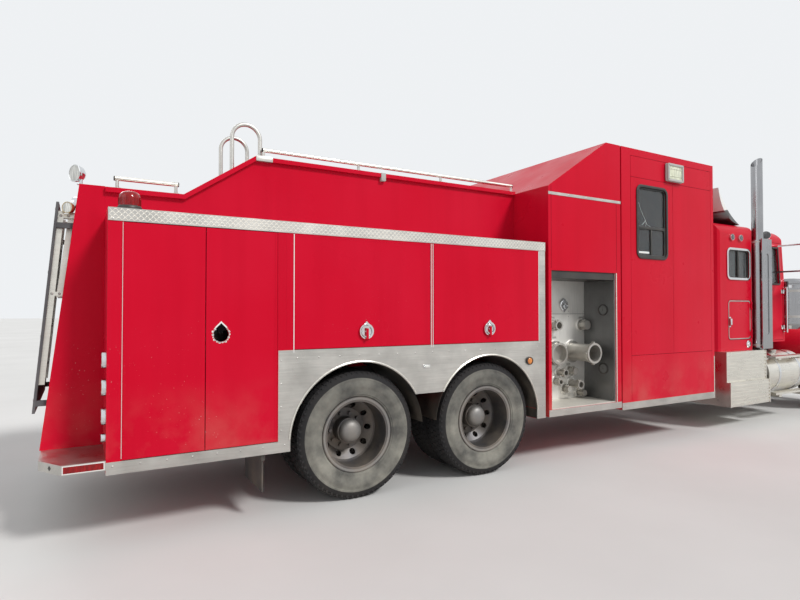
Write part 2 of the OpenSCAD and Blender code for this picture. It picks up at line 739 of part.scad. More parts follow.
// A round lamp facing the rear, turned outwards by an angle, with its bowl behind it
module spotlight(x, y, z, r, turn) {
    translate([x, y, z]) rotate([0, -90, -turn]) rotate_extrude() polygon([[0, -r], [r * 0.5, -r * 0.85],
        [r * 0.85, -r * 0.5], [r, 0], [r, 14], [0, 14]]);
}

module lamps() {
    color("#a01522") {
        both_sides() {
            for (l = tail_lamps) rod_x(x_lock0 - 28, x_lock0 - eps, yb - 110, l[0], l[1]);
            rod_z(x_lock0 + 140, yb - 130, locker_z1 + 5 + eps, locker_z1 + 30, 82);
            translate([x_lock0 + 140, yb - 130, locker_z1 + 30]) rotate_extrude()
                polygon([[0, 0], [75, 0], [75, 50], [66, 85], [40, 108], [0, 115]]);
            rod_y(x_lock1 - 224, yb + eps, yb + 22, 1084, 40);
            slab(x_tandem - 70, x_tandem, yb + eps, yb + 14, 1075, 1105);
            slab(x_crew0 + 794, x_crew0 + 1103, yb + eps, yb + 50, roof_z - 313, roof_z - 95);
            spotlight(x_lock0 - 190, tank_y - 60, 2615, 63, 35);
            rod_z(x_lock0 - 160, tank_y - 45, bay_z1 + eps, 2600, 12);
            spotlight(x_cab0 + 310, sleeper_y + 5, cab_roof_z - 115, 58, 30);
            rod_y(x_cab0 + 330, cab_y + eps, sleeper_y + 5, cab_roof_z - 135, 12);
            for (x = [x_slp0 + 360, x_slp0 + 570])
                rod_y(x, sleeper_y + eps, sleeper_y + 26, cab_roof_z - 200, 45);
        }
        spotlight(bay_x(ladder_lamp_z) - 45, 20 - tank_y, ladder_lamp_z, 42, -50);
        rod_x(bay_x(ladder_lamp_z) - 30, bay_x(ladder_lamp_z) - 2, 20 - tank_y, ladder_lamp_z, 10);
        front_form(x_cab0 + 200, x_cab0 + 360)
            round_rect(-650, 650, cab_roof_z + 30, cab_roof_z + 140, 50);
        both_sides() slab(x_cab0 + 240, x_cab0 + 320, 480, 540, cab_roof_z + eps, cab_roof_z + 40);
    }
}

module fuel_tanks() {
    x0 = x_cab0 + 230;
    x1 = x_cab1 + 150;
    step_y = ylock;
    y = step_y - 360;
    z = 660;
    r = 310;
    color("#c0c3c5") both_sides() {
        rod_x(x0, x1, y, z, r);
        for (x = [x0 + 200, x1 - 250]) {
            slab(x, x + 70, rail_y, y - 250, z + 40, z + 340);
            slab(x, x + 70, rail_y, step_y - 70, z - 330, z - 280);
            slab(x, x + 70, rail_y, rail_y + 40, z - 330, z + 340);
            slab(x, x + 70, step_y - 70, step_y - 20, z - 330, z - 260);
            slab(x, x + 70, step_y - 170, step_y - 20, z + 210, z + 240);
        }
        slab(x0 + 70, x1 - 80, step_y - 120, step_y, z + 235, z + 265);
        slab(x0 + 70, x1 - 80, step_y - 120, step_y, z - 290, z - 260);
    }
}

// Battery and tool boxes whose fronts are steps with level ribs
module step_boxes() {
    x0 = x_slp0 + 50;
    x1 = x_slp1 + 95;
    joint_z = 625;
    color("#c9cccd") both_sides() {
        slab(x0, x1, rail_y + eps, yb - 50, joint_z, 1029);
        slab(x0, x1, rail_y + 80, yb, 300, joint_z + 1);
        for (i = [0:7]) slab(x0 + 5, x1 - 5, yb - 51, yb - 42, joint_z + 35 + i * 46, joint_z + 57 + i * 46);
        for (i = [0:5]) slab(x0 + 5, x1 - 5, yb - 1, yb + 8, 320 + i * 48, 342 + i * 48);
    }
}

// Stack, silencer, elbow and slotted heat shield
module exhausts() {
    shield_y = stack_y + silencer_r - 4;
    color("#b7babc") both_sides() difference() {
        union() {
            rod_z(x_stack, stack_y, silencer_z1 - 10, stack_z, stack_r);
            rod_z(x_stack, stack_y, silencer_z0, silencer_z1, silencer_r);
            rod_z(x_stack + 55, stack_y, 700, silencer_z0 + 10, 45);
            rod_y(x_stack + 55, 300, stack_y + 45, 700, 45);
            slab(x_stack - silencer_r - 15, x_stack + silencer_r + 5, shield_y, shield_y + 14,
                silencer_z0 - 15, silencer_z1 + 10);
            for (z = [1500, 2300]) slab(x_stack - 40, x_stack + 40, cab_y + eps, stack_y - 50, z, z + 40);
        }
        rod_z(x_stack, stack_y, 3300, stack_z + 90, stack_r - 7);
        translate([x_stack, stack_y, stack_z - stack_r]) rotate([0, -45, 0]) translate([-300, -100, 0])
            cube([600, 200, 300]);
        side_form(shield_y + 6, shield_y + 19)
            round_rect(x_stack - 40, x_stack + 40, silencer_z0 + 180, silencer_z1 - 200, 39);
    }
}

module air_cleaners() {
    color("#c4c7c8") both_sides() {
        translate([x_cab1 + 205, 965, 1300]) rotate_extrude() polygon([[0, 0], [120, 0], [180, 60], [190, 80],
            [190, 640], [182, 680], [182, 700], [190, 705], [190, 740], [150, 780], [60, 790], [0, 790]]);
        for (z = [1450, 1850]) slab(x_cab1 + eps, x_cab1 + 40, 900, 960, z, z + 50);
    }
}

module bumper() {
    z0 = 400;
    z1 = 800;
    sweep = 88;
    plate = 12;
    flat_y = yb - 320;
    end_y = yb - 34;
    color("#c4c7c8") difference() {
        union() {
            translate([0, 0, z0]) linear_extrude(z1 - z0) polygon([[x_bumper - plate, -flat_y],
                [x_bumper - sweep - plate, 6 - end_y], [x_bumper - sweep, -end_y], [x_bumper, -flat_y],
                [x_bumper, flat_y], [x_bumper - sweep, end_y], [x_bumper - sweep - plate, end_y - 6],
                [x_bumper - plate, flat_y]]);
            both_sides() slab(x_horn + eps, x_bumper - 5, rail_y - 80, rail_y, 620, z1 - 2);
        }
        both_sides() rod_x(x_horn - 10, x_bumper + 1, rail_y - 40, 700, 28);
    }
}

// Side outline of the roof deflector: a crescent between two parabolic edges
function crescent(a, b, sag, n) = let (d = b - a, side = [d[1], -d[0]] / norm(d))
    [for (i = [0:n]) a + d * i / n + side * 4 * sag * (i / n) * (1 - i / n)];

module roof_deflector() {
    top = [x_slp0 + 170, cab_roof_z + 480];
    foot = [x_slp0 + 680, cab_roof_z + eps];
    rear = crescent(top, foot, 130, 12);
    front = crescent(top, foot, 60, 12);
    color("#e8e6e0") {
        side_form(-sleeper_y + 60, sleeper_y - 60)
            polygon(concat(rear, [for (i = [11:-1:1]) front[i]]));
        both_sides() side_form(600, 640) polygon([[x_slp0 + 370, cab_roof_z + eps],
            [x_slp0 + 410, cab_roof_z + eps], [x_slp0 + 410, cab_roof_z + 150],
            [x_slp0 + 370, cab_roof_z + 190]]);
    }
}

// Hood solid from its three views, inset by t
module bonnet_form(t) {
    intersection() {
        side_form(-800, 800) polygon([[x_hood0 - (t > 0 ? 1 : 0), 1110 - t * 9], [x_hood1 - t, 1110 - t * 9],
            [x_hood1 - t, hood_z - 170], [x_hood1 - 60 - t, hood_z - 110 - t],
            [x_hood0 - (t > 0 ? 1 : 0), hood_z - t]]);
        front_form(x_hood0 - 2, x_hood1) cabin_section(hood_y, 1000, hood_z, 170, t);
        translate([0, 0, 900]) linear_extrude(1300) polygon([[x_hood0 - 2, -hood_y + t],
            [x_hood1, -hood_y + 110 + t], [x_hood1, hood_y - 110 - t], [x_hood0 - 2, hood_y - t]]);
    }
}

// Fender side outline, inset by t
module fender_outline(t) {
    translate([x_front, axle_z]) circle(r = 720 - t);
    translate([x_front + 200, 890 + t]) square([x_hood1 - 30 - t - x_front - 200, fender_top - 890 - 2 * t]);
}

module fender() {
    difference() {
        intersection() {
            side_form(hood_y - 140, fender_y) fender_outline(0);
            slab(x_front - 745, x_hood1 - 30, 0, 1300, 890, 1400);
        }
        intersection() {
            side_form(hood_y - 128, fender_y - shell) fender_outline(shell);
            slab(x_front - 800, x_hood1 - 30 - shell, 0, 1300, 800, 1400);
        }
        rod_y(x_front, hood_y - 200, fender_y + 1, axle_z, 640);
    }
}

module hood() {
    color("#b3111f") {
        difference() {
            union() {
                bonnet_form(0);
                slab(x_hood1 - 190, x_hood1, -470, 470, 860, 1400);
            }
            bonnet_form(shell);
            slab(x_hood1 - 191, x_hood1 - shell, -458, 458, 850, 1401);
            slab(x_hood1 - 60, x_hood1 + 1, -400, 400, 900, 1800);
            both_sides() rod_y(x_hinge, 450, 480, z_hinge, 10.3);
        }
        both_sides() fender();
    }
}

module grille() {
    color("#c4c7c8") {
        difference() {
            slab(x_hood1 + eps, x_hood1 + 20, -430, 430, 870, 1830);
            slab(x_hood1 - 1, x_hood1 + 21, -385, 385, 915, 1785);
        }
        for (i = [-9:9]) slab(x_hood1 - 24, x_hood1 + 12, i * 40 - 5, i * 40 + 5, 905, 1795);
    }
}

module headlamps() {
    color("#c4c7c8") both_sides() {
        slab(x_hood1 - 170, x_hood1 - 40, 700, 1100, fender_top + eps, fender_top + 180);
        for (y = [800, 1000]) rod_x(x_hood1 - 41, x_hood1 - 30, y, fender_top + 90, 75);
    }
}

module cab_door() {
    color("#b3111f") {
        difference() {
            side_form(cab_y - cab_wall, cab_y) cab_door_outline(0);
            side_form(cab_y - cab_wall - 1, cab_y + 1) cab_window_outline(0);
        }
        slab(x_cab0 + 300, x_cab0 + 420, cab_y - 1, cab_y + 22, 1700, 1730);
        for (z = [1300, 1850]) hinge_barrel(x_cab1 - 47.5, cab_y, z, 1);
        for (z = [2180, 2580]) rod_y(x_cab1 - 170, cab_y - 10, 1400, z, 13);
        slab(x_cab1 - 200, x_cab1 - 140, 1360, 1520, 2130, 2630);
    }
}

module cab_glass() {
    color("#20262a") side_form(cab_y - 30, cab_y - 24) cab_window_outline(-eps);
}

// Upright piano hinge on a tall door's edge, its leaf running towards dir along the truck
module piano_hinge(x, dir) {
    rod_z(x, yb + 3.5, z_door0, z_door1 - door_gap, 3.8);
    translate([dir > 0 ? x : x - 22, yb - 1, z_door0]) cube([22, 2.5, z_door1 - door_gap - z_door0]);
}

module tall_rear() {
    color("#b3111f") {
        slab(x_tall0, x_tallm - 3, ylock + eps, yb, z_door0, z_door1 - door_gap);
        piano_hinge(x_tall0 - door_gap / 2, 1);
    }
}
module tall_front() {
    color("#b3111f") {
        difference() {
            slab(x_tallm + 3, x_tall1, ylock + eps, yb, z_door0, z_door1 - door_gap);
            rod_y(x_tallm + 110, ylock - 5, yb + 5, latch_z, latch_hole_r);
        }
        piano_hinge(x_tall1 + door_gap / 2, -1);
    }
}

// A lift door on a level piano hinge along its top, with its round latch
module lift_door(x0, x1, latch_x) {
    color("#b3111f") {
        slab(x0, x1, ylock + eps, yb, arch_panel_z + door_gap, z_door1 - door_gap);
        rod_x(x0, x1, yb + 2.3, z_door1 - door_gap / 2, 2.3);
        slab(x0, x1, yb - 1, yb + 1.2, z_door1 - 22, z_door1 - door_gap / 2);
        rod_y(latch_x, yb - 1, yb + 16, latch_z, latch_r);
        slab(latch_x - 10, latch_x + 10, yb, yb + 34, latch_z - 65, latch_z + 25);
    }
}
module lift_rear() { lift_door(x_post0, x_postm - 20, x_postm - 666); }
module lift_front() { lift_door(x_postm + 20, x_corner - door_gap, x_postm + 653); }

module sleeper_hatch() {
    color("#b3111f") {
        side_form(sleeper_y - 25, sleeper_y) hatch_outline(0);
        slab(x_hatch1 - 530, x_hatch1 - 500, sleeper_y - 1, sleeper_y + 18, 1380, 1480);
        for (z = hatch_hinge_z) hinge_barrel(x_hatch1 + door_gap / 2, sleeper_y, z, 1);
    }
}

module knuckle() {
    low = axle_z - 97;
    high = axle_z + 98;
    color("#3c3e41") {
        rod_z(x_front, kingpin_y, low, high, 22);
        for (z = [[low, axle_z - 61], [axle_z + 61, high]]) {
            rod_z(x_front, kingpin_y, z[0], z[1], 46);
            slab(x_front - 46, x_front + 46, kingpin_y, kingpin_y + 70, z[0], z[1]);
        }
        slab(x_front - 60, x_front + 60, kingpin_y + 52, kingpin_y + 75, low, high);
        rod_y(x_front, kingpin_y + 60, steer_y + 175, axle_z, 40);
    }
}

// Half section of a tyre: distance from the axle, distance from its middle
module tyre_section() {
    h = tyre_w / 2;
    half = [[rim_r - 30, 0], [rim_r - 30, h - 39.5], [rim_r + eps, h - 34], [rim_r + 8, h - 20],
        [rim_r + 50, h - 8],
        [(rim_r + tyre_r) / 2, h], [tyre_r - 60, h - 8], [tyre_r - 30, h - 22],
        [tyre_r - 8, h - 38], [tyre_r, h - 60], [tyre_r, 0]];
    difference() {
        polygon(concat(half, [for (i = [len(half) - 1:-1:0]) [half[i][0], -half[i][1]]]));
        for (y = [-60, 0, 60]) translate([tyre_r - 16, y - 6]) square([20, 12]);
    }
}

module tyre_at(x, y) {
    translate([x, y, axle_z]) rotate([90, 0, 0]) rotate_extrude() tyre_section();
}

// A disc wheel: barrel, dished disc with hand holes; face is the disc's place from the rim's middle
module rim_at(x, y, face, flip) {
    translate([x, y, axle_z]) mirror([0, flip ? 1 : 0, 0]) rotate([-90, 0, 0]) difference() {
        rotate_extrude() union() {
            polygon([[rim_r - 42, -105], [rim_r - 31, -105], [rim_r - 31, 105], [rim_r - 42, 105]]);
            for (s = [0, 1]) mirror([0, s]) polygon([[rim_r - 42, 100], [rim_r, 107], [rim_r, 118],
                [rim_r - 42, 114]]);
            polygon([[110, face - 6], [185, face - 6], [rim_r - 60, face - 56], [rim_r - 34, face - 60],
                [rim_r - 34, face - 46], [rim_r - 56, face - 42], [190, face + 8], [110, face + 8]]);
        }
        for (i = [0:9]) rotate([0, 0, i * 36]) translate([215, 0, face - 90]) cylinder(h = 120, r = 26);
    }
}

// Hub with its cap, wheel nuts and brake drum, on a spindle bore
module hub_at(x, y0, y1, nut_y, drum0, drum1) {
    difference() {
        union() {
            rod_y(x, y0, y1, axle_z, 112);
            rod_y(x, drum0, drum1, axle_z, 205);
            for (i = [0:9]) translate([x, nut_y, axle_z]) rotate([90, i * 36, 0])
                translate([143, 0, -30]) cylinder(h = 34, r = 17, $fn = 6);
            translate([x, y1, axle_z]) rotate([-90, 0, 0]) rotate_extrude()
                polygon([[0, -5], [100, -5], [98, 30], [70, 60], [0, 72]]);
        }
        rod_y(x, drum0 - 1, y1 - 20, axle_z, 40 + eps);
    }
}

module rim_front() {
    color("#8f9294") {
        rim_at(x_front, steer_y, 150, false);
        hub_at(x_front, steer_y + 60, steer_y + 200, steer_y + 150, kingpin_y + 80, steer_y + 140);
    }
}

module rims_rear(x) {
    color("#8f9294") {
        rim_at(x, twin_y, 157, true);
        rim_at(x, twin_y - twin_gap, 157, false);
        hub_at(x, twin_y - 360, twin_y - 50, twin_y - twin_gap / 2 + 8, twin_y - 380, twin_y - 175);
    }
}

module tyre_front() { color("#2d2d2c") tyre_at(x_front, steer_y); }
module tyres_rear(x) {
    color("#2d2d2c") {
        tyre_at(x, twin_y);
        tyre_at(x, twin_y - twin_gap);
    }
}

chassis();
cross_members();
engine();
front_axle();
rear_axles();
cab();
sleeper();
crew_cabin();
seats();
glazing();
pump_house();
pump_panel();
pump_fittings();
tank();
on_side(-1) lockers();  // lockers_right
on_side(1) lockers();  // lockers_left
body_trim();
rear_bay();
rear_board();
rear_step();
ladder();
roof_rails();
lamps();
fuel_tanks();
step_boxes();
exhausts();
air_cleaners();
bumper();
roof_deflector();
hood();
grille();
headlamps();
on_side(-1) cab_door();  // cab_door_right
on_side(1) cab_door();  // cab_door_left
on_side(-1) cab_glass();  // cab_glass_right
on_side(1) cab_glass();  // cab_glass_left
on_side(-1) tall_rear();  // tall_rear_right
on_side(-1) tall_front();  // tall_front_right
on_side(-1) lift_rear();  // lift_rear_right
on_side(-1) lift_front();  // lift_front_right
on_side(1) tall_rear();  // tall_rear_left
on_side(1) tall_front();  // tall_front_left
on_side(1) lift_rear();  // lift_rear_left
on_side(1) lift_front();  // lift_front_left
on_side(-1) sleeper_hatch();  // sleeper_hatch_right
on_side(1) sleeper_hatch();  // sleeper_hatch_left
on_side(-1) knuckle();  // knuckle_right
on_side(1) knuckle();  // knuckle_left
on_side(-1) tyre_front();  // tyre_front_right
on_side(1) tyre_front();  // tyre_front_left
on_side(-1) tyres_rear(x_rear[0]);  // tyres_rear1_right
on_side(1) tyres_rear(x_rear[0]);  // tyres_rear1_left
on_side(-1) tyres_rear(x_rear[1]);  // tyres_rear2_right
on_side(1) tyres_rear(x_rear[1]);  // tyres_rear2_left
on_side(-1) rim_front();  // rim_front_right
on_side(1) rim_front();  // rim_front_left
on_side(-1) rims_rear(x_rear[0]);  // rims_rear1_right
on_side(1) rims_rear(x_rear[0]);  // rims_rear1_left
on_side(-1) rims_rear(x_rear[1]);  // rims_rear2_right
on_side(1) rims_rear(x_rear[1]);  // rims_rear2_left
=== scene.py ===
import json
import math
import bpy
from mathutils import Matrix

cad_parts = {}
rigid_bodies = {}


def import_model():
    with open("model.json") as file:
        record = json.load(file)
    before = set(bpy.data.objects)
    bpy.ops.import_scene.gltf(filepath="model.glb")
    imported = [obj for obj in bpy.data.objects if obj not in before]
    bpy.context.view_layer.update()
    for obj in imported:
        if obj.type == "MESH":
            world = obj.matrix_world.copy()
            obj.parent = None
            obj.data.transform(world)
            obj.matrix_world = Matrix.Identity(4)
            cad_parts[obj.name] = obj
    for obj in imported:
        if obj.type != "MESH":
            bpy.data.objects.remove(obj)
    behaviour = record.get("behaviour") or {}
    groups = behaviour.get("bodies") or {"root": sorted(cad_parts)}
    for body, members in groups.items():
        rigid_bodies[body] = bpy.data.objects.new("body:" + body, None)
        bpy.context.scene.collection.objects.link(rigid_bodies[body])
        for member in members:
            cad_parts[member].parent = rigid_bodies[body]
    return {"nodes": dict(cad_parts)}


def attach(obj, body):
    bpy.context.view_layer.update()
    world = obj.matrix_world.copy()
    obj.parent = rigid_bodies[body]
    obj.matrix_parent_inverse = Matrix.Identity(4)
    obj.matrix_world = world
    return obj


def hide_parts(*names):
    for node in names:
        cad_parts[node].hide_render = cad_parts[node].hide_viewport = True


bl_info = {
    "name": "Long-nose fire pumper looks",
    "version": (1, 0, 0),
    "blender": (4, 5, 0),
    "location": "View3D > Sidebar > Fire truck",
    "description": "Finishes, trim, lamps, tyres and fittings of a long-nose pumper-tanker fire truck",
    "category": "Object",
}

import bpy
import bmesh
from mathutils import Matrix, Vector

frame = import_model()
NODES = frame["nodes"]
SIDES = (("right", -1), ("left", 1))
FINISHES = {}
SKIN_Y = 1.270              # outer face of the body's side
SLEEPER_Y = 1.130           # outer face of the sleeper's side
AXLE_Z = 0.542              # height of the wheels' middles


# Sizes and colours that a user may change

def colour_setting(name, description, default):
    return bpy.props.FloatVectorProperty(
        name=name, description=description, subtype="COLOR", size=3, default=default)


def length_setting(name, description, default):
    return bpy.props.FloatProperty(name=name, description=description, unit="LENGTH", default=default)


class TruckColours(bpy.types.PropertyGroup):
    """Base colours of the finishes"""
    paint: colour_setting("Paint", "Red coach paint", (0.55, 0.002, 0.018))
    faded: colour_setting("Faded paint", "Paint that the sun has faded", (0.58, 0.008, 0.030))
    dust: colour_setting("Dust", "Dry road dust", (0.42, 0.34, 0.25))
    chassis: colour_setting("Chassis", "Black chassis paint", (0.018, 0.018, 0.02))
    aluminium: colour_setting("Aluminium", "Bare aluminium trim", (0.62, 0.60, 0.56))
    stainless: colour_setting("Stainless", "Brushed stainless sheet", (0.84, 0.82, 0.77))
    chrome: colour_setting("Chrome", "Polished chrome", (0.78, 0.79, 0.80))
    cast: colour_setting("Castings", "Dull cast couplings", (0.50, 0.485, 0.45))
    rubber: colour_setting("Rubber", "Tyre rubber", (0.022, 0.022, 0.024))
    wheel: colour_setting("Wheels", "Dull grey wheel discs", (0.075, 0.075, 0.082))
    board: colour_setting("Board", "Weathered dark board at the rear", (0.055, 0.055, 0.06))
    cloth: colour_setting("Seat cloth", "Dark grey seat cloth", (0.05, 0.047, 0.045))
    white: colour_setting("White", "White paint and trim", (0.80, 0.80, 0.77))


class TruckSizes(bpy.types.PropertyGroup):
    """Sizes of the trim and fittings, in metres"""
    tread_blocks: bpy.props.IntProperty(
        name="Tread blocks", description="Tread blocks round a tyre", default=66, min=20, max=90)
    diamond_pitch: length_setting("Diamond pitch", "Pitch of the treadplate's lozenges", 0.052)
    rivet_radius: length_setting("Rivet radius", "Radius of a rivet or screw head", 0.007)
    latch_radius: length_setting("Latch radius", "Radius of a locker latch's dish", 0.062)
    gauge_radius: length_setting("Gauge radius", "Radius of a pressure gauge", 0.0635)


# Modelling helpers

def idle():
    """Leaves edit mode with nothing selected."""
    if bpy.context.mode != "OBJECT":
        bpy.ops.object.mode_set(mode="OBJECT")
    bpy.ops.object.select_all(action="DESELECT")


def pick(*objects):
    """Selects these objects and makes the first one active."""
    idle()
    for obj in objects:
        obj.select_set(True)
    bpy.context.view_layer.objects.active = objects[0]
    return objects[0]


def edit(obj, kind="FACE", all_of_it=False):
    """Opens an object in edit mode with nothing, or all of it, selected."""
    pick(obj)
    bpy.ops.object.mode_set(mode="EDIT")
    bpy.ops.mesh.select_mode(type=kind)
    bpy.ops.mesh.select_all(action="SELECT" if all_of_it else "DESELECT")
    return bmesh.from_edit_mesh(obj.data)


def choose_faces(obj, test):
    """Selects the faces whose centre and normal pass the test."""
    mesh = bmesh.from_edit_mesh(obj.data)
    for face in mesh.faces:
        face.select_set(bool(test(obj.matrix_world @ face.calc_center_median(), face.normal)))
    bmesh.update_edit_mesh(obj.data)


def settle(obj, name=None):
    """Puts the object's place into its mesh."""
    pick(obj)
    bpy.ops.object.transform_apply(location=True, rotation=True, scale=True)
    if name:
        obj.name = name
        obj.data.name = name
    return obj


def block(low, high, edge=0.0, rounds=2):
    """A block between two corners with its edges bevelled."""
    low, high = Vector(low), Vector(high)
    idle()
    bpy.ops.mesh.primitive_cube_add(size=1, location=(low + high) / 2, scale=high - low)
    obj = settle(bpy.context.object)
    if edge:
        edit(obj, "EDGE", True)
        bpy.ops.mesh.bevel(offset=edge, segments=rounds, affect="EDGES")
        idle()
    return obj


AXES = {"x": (0, math.pi / 2, 0), "y": (-math.pi / 2, 0, 0), "z": (0, 0, 0),
        "-x": (0, -math.pi / 2, 0), "-y": (math.pi / 2, 0, 0)}
WAYS = {"x": Vector((1, 0, 0)), "y": Vector((0, 1, 0)), "z": Vector((0, 0, 1)),
        "-x": Vector((-1, 0, 0)), "-y": Vector((0, -1, 0)), "-z": Vector((0, 0, -1))}


def turned(place, way, profile, sides=32, closed=True):
    """A turned piece: rings of (distance along, radius) drawn out one after another."""
    start = Vector(place) + WAYS[way] * profile[0][0]
    idle()
    bpy.ops.mesh.primitive_circle_add(
        vertices=sides, radius=profile[0][1], fill_type="NGON" if closed else "NOTHING",
        location=start, rotation=AXES[way] if way != "-z" else (math.pi, 0, 0))
    obj = settle(bpy.context.object)
    edit(obj, "VERT", True)
    along, radius = profile[0]
    for to_along, to_radius in profile[1:]:
        bpy.ops.mesh.extrude_region_move(
            TRANSFORM_OT_translate={"value": WAYS[way] * (to_along - along)})
        centre = Vector(place) + WAYS[way] * to_along
        grow = to_radius / radius
        bpy.ops.transform.resize(value=(grow, grow, grow), center_override=centre)
        along, radius = to_along, to_radius
    idle()
    edit(obj, "FACE", True)
    bpy.ops.mesh.remove_doubles(threshold=0.00001)
    bpy.ops.mesh.normals_make_consistent(inside=False)
    idle()
    return obj


def ring(place, way, profile, sides=32):
    """A turned piece with a hole: a closed loop of (distance along, radius)."""
    return turned(place, way, profile + [profile[0]], sides, closed=False)


def band(place, way, start, end, inner, outer, sides):
    """A flat ring from start to end along its axis."""
    return ring(place, way, [(start, inner), (start, outer), (end, outer), (end, inner)], sides)


def pipe(points, radius, sides=10):
    """A round bar or hose along a smooth line of points."""
    idle()
    bpy.ops.curve.primitive_nurbs_path_add(location=(0, 0, 0))
    obj = bpy.context.object
    curve = obj.data
    curve.splines.remove(curve.splines[0])
    line = curve.splines.new("BEZIER")
    line.bezier_points.add(len(points) - 1)
    for knot, point in zip(line.bezier_points, points):
        knot.co = point
        knot.handle_left_type = knot.handle_right_type = "AUTO"
    line.resolution_u = 6
    curve.dimensions = "3D"
    curve.bevel_depth = radius
    curve.bevel_resolution = max(1, sides // 4 - 1)
    curve.use_fill_caps = True
    pick(obj)
    bpy.ops.object.convert(target="MESH")
    return settle(bpy.context.object)


def copy_of(obj, shift=(0, 0, 0)):
    """A copy with its own mesh, moved by shift."""
    pick(obj)
    bpy.ops.object.duplicate()
    made = bpy.context.object
    bpy.ops.transform.translate(value=shift)
    return settle(made)


def mirrored(obj):
    """A copy on the other side of the truck."""
    pick(obj)
    bpy.ops.object.duplicate()
    made = bpy.context.object
    made.scale = (1, -1, 1)
    settle(made)
    edit(made, "FACE", True)
    bpy.ops.mesh.normals_make_consistent(inside=False)
    idle()
    return made


def placed(obj, place, turn):
    """Turns a piece about the origin by degrees about x, y and z, and puts it at its place."""
    obj.rotation_euler = [math.radians(part) for part in turn]
    obj.location = place
    return settle(obj)


def shifted(obj, value):
    """Moves a piece's mesh."""
    edit(obj, "VERT", True)
    bpy.ops.transform.translate(value=value)
    idle()
    return obj


def swung(obj, place, turn):
    """Turns a piece about the upright line through a place."""
    place = Vector(place)
    obj.matrix_world = (Matrix.Translation(place) @ Matrix.Rotation(math.radians(turn), 4, "Z")
                        @ Matrix.Translation(-place))
    return settle(obj)


def joined(parts, name=None):
    """Several meshes as one object."""
    pick(*parts)
    if len(parts) > 1:
        bpy.ops.object.join()
    return settle(bpy.context.object, name)


def row(obj, count, step):
    """Repeats an object along a straight line with an applied array."""
    pick(obj)
    array = obj.modifiers.new("row", "ARRAY")
    array.count = count
    array.use_relative_offset = False
    array.use_constant_offset = True
    array.constant_offset_displace = step
    bpy.ops.object.modifier_apply(modifier=array.name)
    return obj


def round_about(obj, count, centre, axis):
    """Repeats a mesh evenly round an axis."""
    edit(obj, "VERT", True)
    bpy.ops.mesh.spin(steps=count - 1, dupli=True, angle=2 * math.pi * (count - 1) / count,
                      center=centre, axis=axis)
    idle()
    return obj


def bevelled(obj, width, rounds=2):
    """Bevels the sharp edges with an applied modifier."""
    pick(obj)
    bevel = obj.modifiers.new("bevel", "BEVEL")
    bevel.width = width
    bevel.segments = rounds
    bevel.limit_method = "ANGLE"
    bpy.ops.object.modifier_apply(modifier=bevel.name)
    return obj


def finished(parts, name, finish, body="root", replaces=()):
    """Names a piece, or a list of parts as one piece, gives it its finish and lets it ride on its body."""
    obj = joined(parts, name) if isinstance(parts, list) else settle(parts, name)
    bpy.ops.object.shade_smooth_by_angle(angle=math.radians(35))
    obj.data.materials.clear()
    obj.data.materials.append(FINISHES[finish])
    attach(obj, body)
    if replaces:
        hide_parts(*replaces)
    return obj


def both(parts, name, finish, bodies="root"):
    """Finishes a left piece and its mirror image; bodies names the body of each, without its side."""
    part = joined(parts) if isinstance(parts, list) else parts
    other = mirrored(part)
    for obj, side in ((part, "left"), (other, "right")):
        body = bodies if bodies in ("root", "hood") else f"{bodies}_{side}"
        finished(obj, f"{name}_{side}", finish, body)


def dressed_copy(node, name, finish, body, zones, cut=None):
    """A merged copy of one of the model's own nodes, with other finishes on some of its faces."""
    pick(NODES[node])
    bpy.ops.object.duplicate()
    bpy.ops.object.parent_clear(type="CLEAR_KEEP_TRANSFORM")
    obj = bpy.context.object
    for key in list(obj.keys()):
        del obj[key]
    settle(obj, name)
    edit(obj, "FACE", True)
    bpy.ops.mesh.remove_doubles(threshold=0.00001)
    bpy.ops.mesh.normals_make_consistent(inside=False)
    if cut:
        bpy.ops.mesh.select_all(action="SELECT")
        bpy.ops.mesh.bisect(plane_co=cut[0], plane_no=cut[1])
    idle()
    finished(obj, name, finish, body, (node,))
    for index, (other, test) in enumerate(zones, 1):
        obj.data.materials.append(FINISHES[other])
        edit(obj, "FACE")
        choose_faces(obj, test)
        obj.active_material_index = index
        bpy.ops.object.material_slot_assign()
        idle()
    return obj


# Finishes

